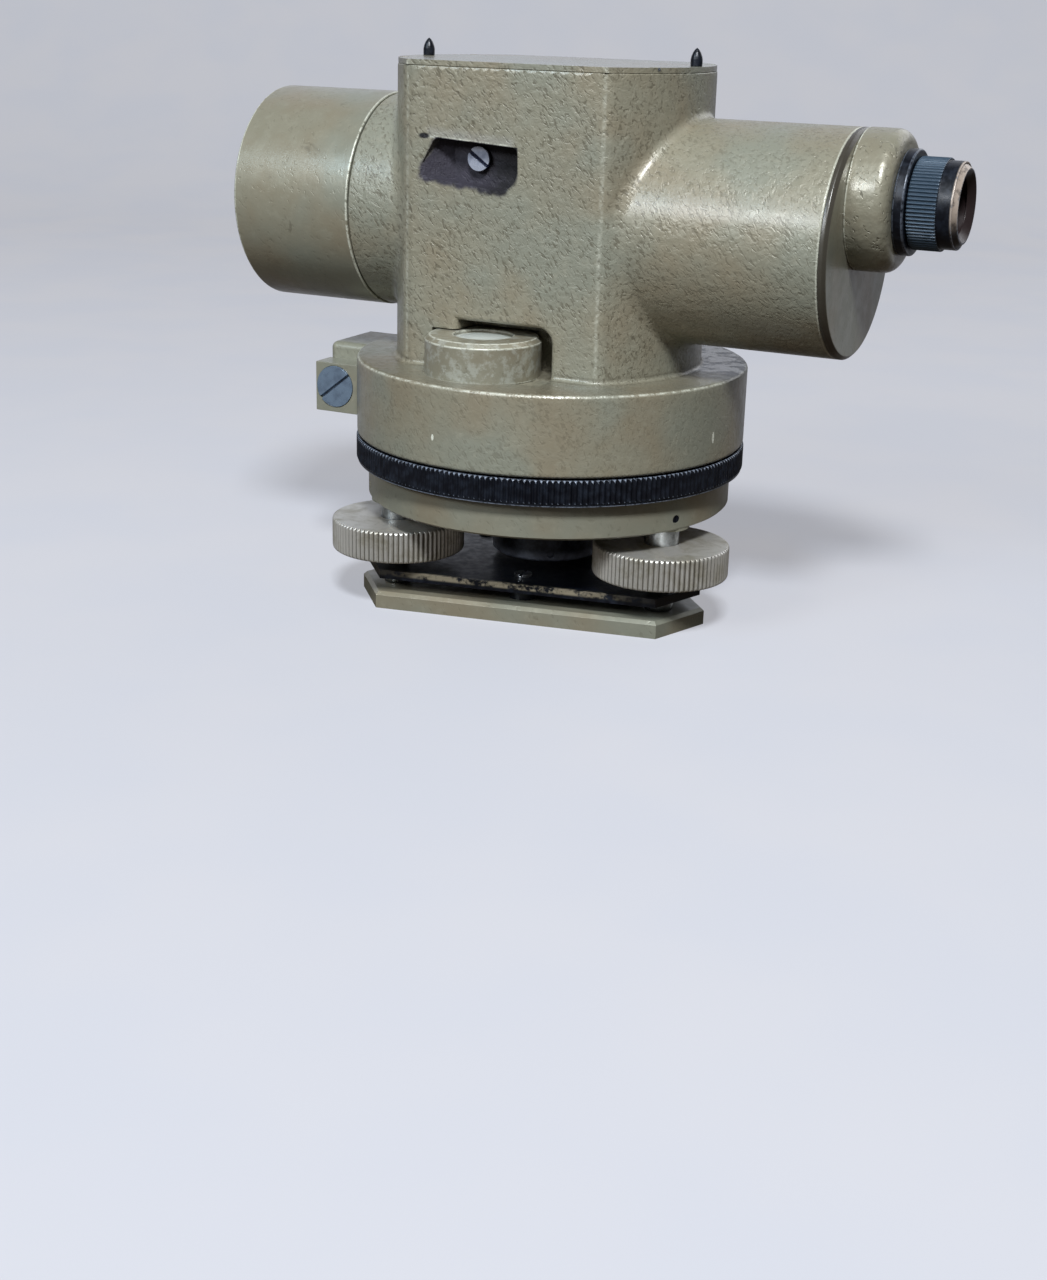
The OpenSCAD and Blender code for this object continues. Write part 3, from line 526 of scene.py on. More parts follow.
def knob_metal(name):
    """Plated alloy of the foot screw knobs, darker in the grooves with grease and painted shade."""
    finish = Finish(name, metallic=0.7)
    stain = finish.noise(7, 5, 0.65, warp=0.5)
    spots = finish.noise(1.4, 4, 0.7)
    colour = finish.layered(
        linear(206, 203, 196), (finish.span(stain, 0.4, 0.75), linear(160, 154, 138)),
        # Grooves darkened with grease and painted shade
        (finish.span(finish.attribute("edge"), -0.15, -0.9, 0, 0.85), linear(78, 72, 60)),
        (finish.span(spots, 0.62, 0.74, 0, 0.5), linear(110, 102, 86)))
    rough = finish.span(stain, 0.3, 0.7, 0.34, 0.5)
    return finish.finished(colour, rough, (finish.noise(0.5, 2), 0.02, 0.5))


def turned_metal(name, pale, dull, roughness=0.3, slot_shade_from=None, metallic=1.0):
    """Bare turned metal with fine scratches and tarnish, and with painted shade deep in a slot along Y when
    the slot's start is given.
    """
    finish = Finish(name, metallic=metallic)
    tarnish = finish.noise(3, 4, 0.6)
    colour = finish.blend(finish.span(tarnish, 0.4, 0.7), pale, dull)
    if slot_shade_from is not None:
        # Painted shade deep in the slot
        deep = finish.span(finish.axis("Y"), slot_shade_from, slot_shade_from + 0.3)
        colour = finish.blend(deep, colour, linear(16, 22, 44))
    scratches = finish.noise(0.25, 2, place=finish.stretched((1, 1, 7)))
    rough = finish.span(tarnish, 0.3, 0.7, roughness - 0.06, roughness + 0.14)
    return finish.finished(colour, rough, (scratches, 0.015, 0.4))


def clear_glass(name, tint, roughness=0.02, clear=1.0):
    """Glass with a faint tint and a little dust."""
    finish = Finish(name, IOR=1.52, Transmission_Weight=clear)
    dust = finish.noise(2.5, 4, 0.7)
    colour = finish.blend(finish.span(dust, 0.55, 0.8, 0, 0.4), tint, linear(214, 216, 210))
    return finish.finished(colour, finish.span(dust, 0.5, 0.8, roughness, roughness + 0.12))


MATERIAL = {
    "hammertone": hammertone("hammered_paint"),
    "satin_bronze": satin_paint("satin_paint"),
    "black": black_finish("black_anodised"),
    "alloy": knob_metal("plated_alloy"),
    "steel": turned_metal("bright_steel", linear(190, 194, 198), linear(132, 134, 134)),
    "brass": turned_metal("brass", linear(200, 168, 96), linear(140, 110, 60)),
    "glass": clear_glass("lens_glass", linear(232, 240, 244)),
    "bubble_glass": clear_glass("bubble_glass", linear(226, 230, 222), 0.12, 0.35),
}

# Nodes whose finish differs from the rest of their slot
OWN_FINISH = {
    "lid": hammertone("lid_paint", 1.0),
    # The rear cover is darkened with painted shade, with a painted shade line in the gap round it
    "rear_cover": satin_paint("cover_paint", shade=0.1, marks=[(cover_gap_shade, linear(50, 45, 38))]),
    "eyepiece_boss": satin_paint("boss_paint", relief=1.8),
    "eyepiece_collar": black_finish("collar_black", 0.25),
    "bubble_housing": satin_paint("bubble_case_paint", relief=0.5, bald=0.47),
    # A lighter copy of the black, painted light for a hub that sits in shade, with a painted highlight band
    "hub_cup": black_finish("hub_black", dark=linear(34, 36, 44), greyed=linear(70, 74, 86),
                            marks=[(hub_highlight_band, linear(176, 184, 204))]),
    "spring_plate": black_finish("spring_black", marks=[(spring_streak, linear(182, 170, 144))]),
    "dioptre_ring": black_finish("eyepiece_black", 0.4, marks=[
        (eye_grip, linear(56, 74, 90)), (eye_bevel, linear(186, 170, 156)),
        (eye_inside, linear(44, 34, 34))]),
    "tangent_plug": turned_metal("blued_steel", linear(124, 142, 162), linear(98, 112, 130), 0.24,
                                 metallic=0.5),
    # Painted shade in the slot of the recess screw
    "recess_screw": turned_metal("slotted_steel", linear(196, 202, 218), linear(140, 146, 164), 0.3,
                                 slot_shade_from=SLOT_FLOOR_Y, metallic=0.6),
    "foot_grub_screws": black_finish("grub_black", 0.2),
}


def placed(name, data):
    """A new object in the scene."""
    obj = bpy.data.objects.new(name, data)
    bpy.context.scene.collection.objects.link(obj)
    return obj


def smoothed(mesh):
    """Shades every face of a mesh smooth."""
    mesh.polygons.foreach_set("use_smooth", np.ones(len(mesh.polygons), bool))


def marked(mesh, label, values):
    """Stores one number for each vertex of a mesh."""
    mesh.attributes.new(label, "FLOAT", "POINT").data.foreach_set("value", np.asarray(values, np.float32))


def keep(obj, *nodes):
    """Makes a piece stand for its nodes, with their body, slot and finish."""
    first = nodes[0]
    obj.data.materials.clear()
    obj.data.materials.append(OWN_FINISH.get(first) or MATERIAL[SLOT[first]])
    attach(obj, BODY[first])
    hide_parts(*nodes)
    return obj


def new_object(name, points, faces, normals=None, edge=None):
    """A smooth mesh from points in millimetres, with given vertex normals and marks of its edges."""
    mesh = bpy.data.meshes.new(name)
    mesh.from_pydata((np.asarray(points) * MM).tolist(), [], faces)
    mesh.update()
    smoothed(mesh)
    if normals is not None:
        marked(mesh, "edge", edge)
        mesh.normals_split_custom_set_from_vertices(normals.tolist())
    return placed(name, mesh)


# Turned pieces

# Distance from a rounded corner to the row that keeps the flat beside it flat
SUPPORT = 0.5
# A corner rounded by this much or more is a form, and wears less
BROAD_ROUNDING = 1.2
# A knurl of fewer teeth is coarse, and gets more columns for each
COARSE_TEETH = 100
GROOVE_SHARPNESS = 1.6
TINY = 1e-6


def rounded_profile(corners, steps):
    """Rows (along, radius, tangent along, tangent radius, edge) of a closed profile with rounded corners.

    A corner is (along, radius, rounding). Edge is 1 on outer corners and -1 on inner ones.
    """
    points = np.array([c[:2] for c in corners], float)
    count = len(points)
    after = np.roll(points, -1, axis=0)
    area = np.sum(points[:, 0] * after[:, 1] - after[:, 0] * points[:, 1])
    rows = []
    for i in range(count):
        here, before, beyond = points[i], points[i - 1], points[(i + 1) % count]
        come, leave = here - before, beyond - here
        come_len, leave_len = np.linalg.norm(come), np.linalg.norm(leave)
        come, leave = come / come_len, leave / leave_len
        if here[1] < TINY:
            rows.append((*here, *(leave if before[1] < TINY else come), 0.0))
            continue
        turn = math.atan2(come[0] * leave[1] - come[1] * leave[0], come @ leave)
        rounding = corners[i][2] if len(corners[i]) > 2 else 0.15
        reach = min(rounding * math.tan(abs(turn) / 2), 0.48 * come_len, 0.48 * leave_len)
        radius = reach / math.tan(abs(turn) / 2)
        start = here - come * reach
        side = np.array([-come[1], come[0]]) * math.copysign(1, turn)
        centre = start + side * radius
        sign = (1.0 if turn * area > 0 else -1.0) * (1.0 if rounding < BROAD_ROUNDING else 0.3)
        if come_len - reach > 2.5 * SUPPORT:
            rows.append((*(start - come * SUPPORT), *come, 0.0))
        for k in range(steps + 1):
            angle = turn * k / steps
            spin = np.array([[math.cos(angle), -math.sin(angle)], [math.sin(angle), math.cos(angle)]])
            rows.append((*(centre - spin @ side * radius), *(spin @ come), sign))
        if leave_len - reach > 2.5 * SUPPORT:
            rows.append((*(here + leave * (reach + SUPPORT)), *leave, 0.0))
    return np.array(rows), math.copysign(1, area)


def unit(vectors):
    """Vectors brought to length 1."""
    return vectors / np.maximum(np.linalg.norm(vectors, axis=1, keepdims=True), 1e-9)


AXES = {
    "x": np.array([[1, 0, 0], [0, 0, 1], [0, -1, 0]], float),
    "y": np.array([[0, 1, 0], [0, 0, 1], [1, 0, 0]], float),
    "z": np.array([[0, 0, 1], [1, 0, 0], [0, 1, 0]], float),
}


def turned(name, corners, axis="z", centre=(0, 0, 0), columns=168, steps=4, knurl=None):
    """A solid of revolution with rounded corners.

    knurl is (teeth, depth, from, to): grooves cut into the widest wall between two places along the axis.
    """
    rows, sense = rounded_profile(corners, steps)
    along, radius, t_along, t_radius, edge = rows.T
    if knurl:
        columns = knurl[0] * (8 if knurl[0] < COARSE_TEETH else 6)
    angle = 2 * np.pi * np.arange(columns) / columns
    wide, marks, t_a, t_r = (np.repeat(row[:, None], columns, axis=1)
                             for row in (radius, edge, t_along, t_radius))
    slope = np.zeros_like(wide)
    if knurl:
        teeth, depth, low, high = knurl
        groove = (0.5 - 0.5 * np.cos(teeth * angle)) ** GROOVE_SHARPNESS
        floor = radius.max() - depth * groove
        rate = np.gradient(np.concatenate([floor[-2:], floor, floor[:2]]))[2:-2] * columns / (2 * np.pi)
        inside = ((along >= low - TINY) & (along <= high + TINY))[:, None]
        cut = inside & (wide > floor)
        wide = np.where(cut, floor, wide)
        slope = np.where(cut, rate, slope)
        t_a = np.where(cut, np.where(t_a == 0, 1, np.sign(t_a)), t_a)
        t_r = np.where(cut, 0.0, t_r)
        marks = np.where(cut, 1 - 2.0 * groove, marks)
    a_dir, u_dir, v_dir = AXES[axis]
    outward = np.cos(angle)[:, None] * u_dir + np.sin(angle)[:, None] * v_dir
    around = -np.sin(angle)[:, None] * u_dir + np.cos(angle)[:, None] * v_dir
    points = along[:, None, None] * a_dir + wide[..., None] * outward + np.array(centre, float)
    run = t_a[..., None] * a_dir + t_r[..., None] * outward
    sweep = wide[..., None] * around + slope[..., None] * outward
    normals = np.cross(run, sweep) * -sense
    poles = radius < TINY
    normals[poles] = np.abs(t_r[poles, :1, None]) * a_dir
    used = np.ones(wide.shape, bool)
    used[poles, 1:] = False
    index = np.cumsum(used).reshape(wide.shape) - 1
    points, normals, marks = points[used], normals[used], marks[used]
    flat = np.linalg.norm(normals, axis=1) < 1e-9
    normals = unit(normals)
    normals[flat] = a_dir
    faces = []
    for i in range(len(rows)):
        j = (i + 1) % len(rows)
        if poles[i] and poles[j]:
            continue
        for one, two in zip(range(columns), [*range(1, columns), 0]):
            ring = [index[i, one], index[i, two], index[j, two], index[j, one]]
            if poles[i]:
                del ring[1]
            elif poles[j]:
                del ring[3]
            faces.append(ring if sense > 0 else ring[::-1])
    return new_object(name, points, faces, normals, marks)


# Castings with rounded edges and fillets, as distance fields

def rod_field(x, y, z, axis, centre, radius, low, high):
    """Distance to a round rod along an axis, given the two other coordinates of its centre."""
    along, u, v = {"x": (x, y, z), "y": (y, x, z), "z": (z, x, y)}[axis]
    wide = np.hypot(u - centre[0], v - centre[1]) - radius
    long = np.maximum(along - high, low - along)
    return np.maximum(wide, long)


def block_field(x, y, z, low, high, rounding=0.0):
    """Distance to a box with rounded edges."""
    sides = [np.abs(c - (a + b) / 2) - (b - a) / 2 + rounding for c, a, b in zip((x, y, z), low, high)]
    outside = np.sqrt(sum(np.maximum(s, 0) ** 2 for s in sides))
    return outside + np.minimum(np.maximum(np.maximum(sides[0], sides[1]), sides[2]), 0) - rounding


def both(a, b, rounding):
    """Intersection with a rounded edge."""
    return np.minimum(-rounding, np.maximum(a, b)) + np.hypot(np.maximum(rounding + a, 0),
                                                              np.maximum(rounding + b, 0))


def either(a, b, fillet):
    """Union with a fillet."""
    return np.maximum(fillet, np.minimum(a, b)) - np.hypot(np.maximum(fillet - a, 0),
                                                            np.maximum(fillet - b, 0))


def without(a, b, rounding):
    """a with b cut out, and the cut's edge rounded."""
    return both(a, -b, rounding)


def tower_plan(x, y, inset=0.0, corner=TOWER_CORNER):
    """Outline of the tower: a circle with two flats."""
    return both(np.hypot(x - TOWER_X, y) - TOWER_R + inset, np.abs(y) - FLAT_Y + inset, corner)


def housing_outside(x, y, z):
    """Round base, tower, tubes and tangent screw housing, with their fillets."""
    middle = (RING_TOP + RING_LOW) / 2
    ring = both(np.hypot(x, y) - RING_R, np.abs(z - middle) - (RING_TOP - RING_LOW) / 2, RING_EDGE)
    tower = both(tower_plan(x, y), np.maximum(z - TOWER_TOP, RING_TOP - 6 - z), 0.5)
    tube = both(np.hypot(y, z - TUBE_Z) - TUBE_R, np.maximum(x - TUBE_END, -x), 0.5)
    neck = both(np.hypot(y, z - NECK_Z) - TUBE_R, np.maximum(NECK_END - x, x), 0.5)
    shape = either(either(tower, tube, TUBE_FILLET), neck, TUBE_FILLET)
    shape = either(shape, ring, TOWER_FOOT)
    tangent = block_field(x, y, z, TAN_BOX[0], TAN_BOX[1], 1.8)
    return either(shape, tangent, 0.8)


def housing_inside(x, y, z):
    """Hollow of the tower, the tubes and the round base."""
    tower = np.maximum(tower_plan(x, y, WALL, 0.5), FLOOR_TOP - z)
    tube = rod_field(x, y, z, "x", (0, TUBE_Z), TUBE_R - WALL, 0, TUBE_END + 5)
    neck = rod_field(x, y, z, "x", (0, NECK_Z), BORE_R, NECK_END - 5, 0)
    hollow = np.minimum(np.minimum(tower, tube), neck)
    for pad in (*pocket_field(x, y, z, POCKET_WALL), recess_field(x, y - 2, z) - 2.5):
        hollow = np.maximum(hollow, -pad)
    cavity = rod_field(x, y, z, "z", (0, 0), CAVITY_R, RING_LOW - 5, CAVITY_TOP)
    return np.minimum(hollow, cavity)


def pocket_field(x, y, z, grow=0.0):
    """Room round the bubble's housing and the window over it, both grown by a wall."""
    close = rod_field(x, y, z, "z", (BUBBLE_X, BUBBLE_Y), BUBBLE_R + POCKET_GAP + grow, RING_TOP - grow,
                      BUBBLE_HIGH[2] + POCKET_GAP + grow)
    arch = both(x - WINDOW_X[1] - grow, z - WINDOW_TOP - grow, WINDOW_ROUND + grow)
    window = np.maximum(np.maximum(arch, WINDOW_X[0] - grow - x), RING_TOP - grow - z)
    return close, np.maximum(window, np.maximum(y - WINDOW_BACK - grow, FRONT_Y - y))


def recess_field(x, y, z):
    """Recess of the adjusting screw: four touching lines with rounded corners.

    Its floor rises to the left of its ramp's foot.
    """
    left, top, right, low = (touching_line(x, z, *ends) for ends in RECESS_SIDES)
    first, second, _, last = (corner[2] for corner in RECESS_CORNERS)
    plan = both(both(left, top, first), both(right, low, last), second)
    floor = RECESS_Y - 0.8 * np.maximum(0, RAMP_FOOT_X - x)
    return np.maximum(plan, np.maximum(y - floor, FRONT_Y - y))


def housing_field(x, y, z):
    """The whole casting, in millimetres: below 0 is metal."""
    shape = np.maximum(housing_outside(x, y, z), -housing_inside(x, y, z))
    close, window = pocket_field(x, y, z)
    shape = without(without(shape, window, 1.4), close, 0.15)
    shape = without(shape, recess_field(x, y, z), 0.3)
    arm_slot = block_field(x, y, z, (TAN_X - 4.5, -6, TAN_Z - 4.2), (TAN_X + 17.5, 6, TAN_Z + 4.2))
    plunger = rod_field(x, y, z, "y", (TAN_X, TAN_Z), 4.0, -9, 0)
    journal = rod_field(x, y, z, "y", (TAN_X, TAN_Z), 6.05, 11, 16)
    rod = rod_field(x, y, z, "y", (TAN_X, TAN_Z), 3.0, 0, 16)
    pinion = rod_field(x, y, z, "y", (PINION_X, PINION_Z), 5.0, 20, 40)
    for hole in (arm_slot, plunger, journal, rod, pinion):
        shape = np.maximum(shape, -hole)
    return shape


# How far from a surface its neighbours count as a nook, darkened with dirt and painted shade, in
# millimetres
NOOK_REACH = 3.0
# A corner normal further than this from its face, in degrees, is read again nearer to the face's middle
STRAY_ANGLE = 14
STRAY_NUDGE = 0.45
# Pull towards the middle of a cell, where its planes leave the vertex free
CELL_PULL = 0.03


def slopes(field, points, step=0.02):
    """Unit gradient of a field at some points."""
    columns = []
    for axis in range(3):
        shift = np.zeros(3)
        shift[axis] = step
        columns.append(field(*(points + shift).T) - field(*(points - shift).T))
    return unit(np.stack(columns, axis=1) / (2 * step))


def surface_net(field, low, high, step):
    """Quads round the zero surface of a field, one vertex in each cell that the surface crosses.

    A vertex goes where the planes through its cell's crossings meet, so that edges stay sharp.
    """
    axes = [np.arange(a, b + step, step) for a, b in zip(low, high)]
    grid = field(*np.meshgrid(*axes, indexing="ij", sparse=True)).astype(np.float32)
    shape = np.array(grid.shape)
    cells, places = [], []
    for axis in range(3):
        first = np.take(grid, range(shape[axis] - 1), axis=axis)
        second = np.take(grid, range(1, shape[axis]), axis=axis)
        edges = np.argwhere((first < 0) != (second < 0))
        a, b = first[tuple(edges.T)], second[tuple(edges.T)]
        place = edges.astype(float)
        place[:, axis] += a / (a - b)
        u, v = (axis + 1) % 3, (axis + 2) % 3
        ring = []
        for du, dv in ((-1, -1), (0, -1), (0, 0), (-1, 0)):
            cell = edges.copy()
            cell[:, u] += du
            cell[:, v] += dv
            ring.append(np.ravel_multi_index(tuple(cell.T), tuple(shape)))
        ring = np.stack(ring, axis=1)
        ring[a > 0] = ring[a > 0][:, ::-1]
        cells.append(ring.reshape(-1))
        places.append(place)
    slots = np.unique(np.concatenate(cells), return_inverse=True)[1]
    crossings = np.concatenate(places) * step + np.array(low)
    planes = np.repeat(slopes(field, crossings), 4, axis=0)
    every = np.repeat(crossings, 4, axis=0)
    counts = np.bincount(slots)

    def gathered(values):
        return np.bincount(slots, values) / counts

    middle = np.stack([gathered(every[:, k]) for k in range(3)], axis=1)
    offset = np.einsum("ij,ij->i", planes, every - middle[slots])
    square = np.stack([gathered(planes[:, i] * planes[:, j]) for i in range(3) for j in range(3)], axis=1)
    square = square.reshape(-1, 3, 3) + np.eye(3) * CELL_PULL
    pull = np.stack([gathered(planes[:, k] * offset) for k in range(3)], axis=1)
    shift = np.linalg.solve(square, pull[..., None])[..., 0]
    shift *= np.minimum(1, step / np.maximum(np.linalg.norm(shift, axis=1), 1e-9))[:, None]
    return middle + shift, slots.reshape(-1, 4)


def settle(field, points, rounds=3):
    """Moves points onto the zero surface of a field."""
    for _ in range(rounds):
        points = points - slopes(field, points) * field(*points.T)[:, None]
    return points


def casting(name, field, low, high, step, share):
    """A casting meshed from its field, thinned where it is flat, with the field's own normals."""
    points, quads = surface_net(field, low, high, step)
    points = settle(field, points)
    rough = new_object(name + "_rough", points, quads.tolist())
    thin = rough.modifiers.new("thin", "DECIMATE")
    thin.ratio = share
    thin.use_collapse_triangulate = True
    bpy.context.view_layer.update()
    mesh = bpy.data.meshes.new_from_object(rough.evaluated_get(bpy.context.evaluated_depsgraph_get()))
    bpy.data.objects.remove(rough)
    mesh.name = name
    co = np.zeros(len(mesh.vertices) * 3)
    mesh.vertices.foreach_get("co", co)
    co = settle(field, co.reshape(-1, 3) / MM, 1)
    mesh.vertices.foreach_set("co", (co * MM).reshape(-1))
    mesh.update()
    corners = np.zeros(len(mesh.loops), int)
    mesh.loops.foreach_get("vertex_index", corners)
    triangles = corners.reshape(-1, 3)
    first, second, third = (co[triangles[:, k]] for k in range(3))
    face_normals = np.repeat(unit(np.cross(second - first, third - first)), 3, axis=0)
    outward = slopes(field, co)
    normals = outward[corners]
    centres = np.repeat((first + second + third) / 3, 3, axis=0)
    stray = np.einsum("ij,ij->i", normals, face_normals) < math.cos(math.radians(STRAY_ANGLE))
    inward = centres[stray] - co[corners[stray]]
    far = np.linalg.norm(inward, axis=1, keepdims=True)
    nudged = co[corners[stray]] + inward * np.minimum(0.6, STRAY_NUDGE / np.maximum(far, TINY))
    normals[stray] = slopes(field, nudged)
    # How near other surfaces are, for the dirt and painted shade of nooks
    nook = 1 - field(*(co + outward * NOOK_REACH).T) / NOOK_REACH
    marked(mesh, "nook", nook)
    smoothed(mesh)
    mesh.normals_split_custom_set(normals.tolist())
    return placed(name, mesh)


def firm_normals(mesh, angle=38):
    """Corner normals that follow the larger faces round each vertex, so that flats stay flat."""
    areas = np.array([face.area for face in mesh.polygons])
    normals = np.array([face.normal for face in mesh.polygons])
    around = [[] for _ in mesh.vertices]
    for face in mesh.polygons:
        for vertex in face.vertices:
            around[vertex].append(face.index)
    limit = math.cos(math.radians(angle))
    found = []
    for face in mesh.polygons:
        for vertex in face.vertices:
            near_by = np.array(around[vertex])
            alike = near_by[normals[near_by] @ normals[face.index] > limit]
            found.append(areas[alike] @ normals[alike] if len(alike) else normals[face.index])
    mesh.normals_split_custom_set(np.array(found).tolist())


def bevelled(node, width, angle=32, segments=2):
    """A copy of a node's solid with its edges rounded over."""
    mesh = bpy.data.meshes.new(node + "_finished")
    work = bmesh.new()
    work.from_mesh(frame["nodes"][node].data)
    bmesh.ops.remove_doubles(work, verts=work.verts, dist=1e-7)
    bmesh.ops.dissolve_limit(work, angle_limit=math.radians(0.6), verts=work.verts, edges=work.edges)
    sharp = [e for e in work.edges if len(e.link_faces) == 2 and e.calc_face_angle(0) > math.radians(angle)]
    bmesh.ops.bevel(work, geom=sharp, offset=width * MM, offset_type="OFFSET", segments=segments,
                    profile=0.5, affect="EDGES", clamp_overlap=True)
    work.to_mesh(mesh)
    work.free()
    if "custom_normal" in mesh.attributes:
        mesh.attributes.remove(mesh.attributes["custom_normal"])
    smoothed(mesh)
    firm_normals(mesh)
    return placed(mesh.name, mesh)


# Camera, floor and light, at the photograph's viewing angle
IMAGE_W, IMAGE_H = 1047, 1280
FOCAL_PX = 1839.18
CAMERA_AT = (209.9, -446.8, 157.2)
YAW, PITCH, ROLL = (math.radians(a) for a in (25.83, 19.33, -1.52))
# What the lamps point at
LIT_POINT = (0, 0, 80)


def add_camera():
    """The photograph's camera."""
    data = bpy.data.cameras.new("camera")
    data.sensor_fit = "AUTO"
    data.sensor_width = 36
    data.lens = FOCAL_PX * data.sensor_width / max(IMAGE_W, IMAGE_H)
    data.clip_start, data.clip_end = 0.01, 20
    camera = placed("camera", data)
    forward = Vector((-math.sin(YAW) * math.cos(PITCH), math.cos(YAW) * math.cos(PITCH), -math.sin(PITCH)))
    level = Vector((math.cos(YAW), math.sin(YAW), 0))
    down = forward.cross(level)
    right = math.cos(ROLL) * level + math.sin(ROLL) * down
    up = math.sin(ROLL) * level - math.cos(ROLL) * down
    turn = Matrix((right, up, -forward)).transposed().to_4x4()
    camera.matrix_world = Matrix.Translation(Vector(CAMERA_AT) * MM) @ turn
    bpy.context.scene.camera = camera


def backdrop_material():
    """Pale wall and floor that keep their tone in the picture and throw back less light than they show."""
    finish = Finish("pale_backdrop", roughness=0.9)
    path = finish.add("ShaderNodeLightPath", {}).outputs
    in_view = path["Is Camera Ray"]
    seen = finish.larger(in_view, finish.larger(path["Is Glossy Ray"], path["Is Transmission Ray"]))
    grain = finish.noise(60, 2)
    pale = finish.blend(finish.span(grain, 0.3, 0.7), linear(203, 205, 214), linear(208, 208, 214))
    high_or_behind = finish.larger(finish.span(finish.axis("Z"), 30, 300),
                                   finish.span(finish.axis("Y"), 0, 250, 0, 0.4))
    shown = finish.layered(linear(48, 38, 26), (high_or_behind, pale), (in_view, pale))
    lit = finish.blend(in_view, shown, linear(134, 135, 140))
    finish.set(Base_Color=finish.blend(seen, linear(66, 53, 38), lit), Emission_Color=shown,
               Emission_Strength=finish.plus(finish.times(seen, 0.27), finish.times(in_view, 0.3)))
    return finish.material


def add_backdrop():
    """A floor that curves up into a wall, in metres."""
    half_width, front, deep, tall, bend = 2.4, -2.6, 1.3, 2.2, 0.5
    steps = 16
    profile = [(front, 0.0), (deep - bend, 0.0)]
    profile += [(deep - bend + bend * math.sin(math.pi / 2 * k / steps),
                 bend - bend * math.cos(math.pi / 2 * k / steps)) for k in range(1, steps + 1)]
    profile.append((deep, tall))
    points = [(side * half_width, y, z) for y, z in profile for side in (-1, 1)]
    faces = [(2 * k, 2 * k + 1, 2 * k + 3, 2 * k + 2) for k in range(len(profile) - 1)]
    mesh = bpy.data.meshes.new("backdrop")
    mesh.from_pydata(points, [], faces)
    smoothed(mesh)
    mesh.materials.append(backdrop_material())
    sweep = placed("backdrop", mesh)
    sweep.rotation_euler = (0, 0, YAW)


def add_lamp(name, towards, distance, size, power, colour):
    """A square soft light that shines at the object from a direction."""
    data = bpy.data.lights.new(name, "AREA")
    data.shape = "RECTANGLE"
    data.size, data.size_y = size
    data.energy = power
    data.color = colour
    lamp = placed(name, data)
    away = Vector(towards).normalized()
    lamp.location = Vector(LIT_POINT) * MM + away * distance
    lamp.rotation_euler = away.to_track_quat("Z", "Y").to_euler()


def add_light():
    """A key light above the camera, two cool windows from the left, a faint rear light and a pale world."""
    add_lamp("key", (0.30, -0.64, 0.77), 1.5, (0.26, 0.26), 28, (0.96, 1.0, 1.04))
    add_lamp("window", (-0.42, -0.72, 0.54), 1.7, (0.34, 0.3), 3.5, (0.68, 0.92, 1.14))
    add_lamp("low_window", (-0.28, -0.9, 0.46), 1.7, (0.5, 0.3), 9.5, (0.92, 0.96, 1.0))
    add_lamp("rear", (0.35, 0.85, 0.5), 1.1, (0.9, 0.6), 1.8, (0.95, 0.97, 1.0))
    world = bpy.data.worlds.new("pale_world")
    world.use_nodes = True
    sky = world.node_tree.nodes["Background"]
    sky.inputs["Color"].default_value = linear(214, 218, 224)
    sky.inputs["Strength"].default_value = 0.16
    bpy.context.scene.world = world


add_camera()
add_backdrop()
add_light()
bpy.context.scene.view_settings.view_transform = "Standard"


# Castings

def make_housing():
    """The casting with its tower, tubes, round base and tangent screw housing."""
    low = HOUSING_LOW - 1.3
    high = HOUSING_HIGH + 1.3
    return keep(casting("housing_casting", housing_field, low, high, 0.8, 0.3), "housing")


# Pieces turned on the lathe

def make_sleeve():
    """Objective sleeve with its chamfered mouth."""
    front, end, back = SLEEVE_LOW[0], NECK_END - 0.3, SLEEVE_HIGH[0]
    outer, mouth, spigot, bore = SLEEVE_HIGH[1], 25.6, 24.4, 22
    mouth_end = -60
    corners = [(front, mouth, 0.2), (front, outer - 0.5, 0.25), (front + 0.5, outer, 0.25),
               (end, outer, 0.3), (end, spigot, 0.1), (back, spigot, 0.2), (back, bore, 0.2),
               (mouth_end, bore, 0.2), (mouth_end, mouth, 0.1)]
    return keep(turned("objective_barrel", corners, "x", (0, 0, NECK_Z), 192), "objective_sleeve")


def make_boss():
    """Boss that carries the eyepiece, round at its rear edge."""
    outer, spigot = (BOSS_HIGH[2] - BOSS_LOW[2]) / 2, 11.9
    start, seat, end = BOSS_LOW[0], COVER_HIGH[0], BOSS_HIGH[0]
    corners = [(start, EYE_BORE, 0.1), (start, spigot, 0.1), (seat, spigot, 0.1), (seat, outer, 0.3),
               (end, outer, 3.4), (end, EYE_BORE, 0.2)]
    return keep(turned("eyepiece_mount", corners, "x", (0, 0, EYE_Z), 160, steps=8), "eyepiece_boss")


def make_collar():
    """Black collar at the root of the eyepiece."""
    outer = (COLLAR_HIGH[2] - COLLAR_LOW[2]) / 2
    low, high = COLLAR_LOW[0], COLLAR_HIGH[0]
    corners = [(low, EYE_BORE, 0.15), (low, outer, 0.45), (high, outer, 0.45), (high, EYE_BORE, 0.15)]
    return keep(turned("collar_ring", corners, "x", (0, 0, EYE_Z), 128), "eyepiece_collar")


def make_dioptre():
    """Knurled dioptre ring with its band and bevelled eye end."""
    root, start, band_end, cup, end = 88, COLLAR_HIGH[0] + 0.25, 106.4, 105.6, DIOPTRE_END
    bore, sleeve, grip, band, shell = 7.95, 9.5, 11, 10.4, 10
    corners = [(root, bore, 0.1), (root, sleeve, 0.1), (start, sleeve, 0.1), (start, grip, 0.3),
               (EYE_KNURL_END, grip, 0.3), (EYE_KNURL_END, band, 0.1), (band_end, band, 0.25),
               (band_end, shell, 0.1), (end - 1.5, shell, 0.3), (end, 8.9, 0.3), (end, 8.5, 0.15),
               (cup, 6.6, 0.15), (cup, bore, 0.1)]
    knurl = (72, 0.45, start, EYE_KNURL_END)
    return keep(turned("dioptre_eyecup", corners, "x", (0, 0, EYE_Z), knurl=knurl), "dioptre_ring")


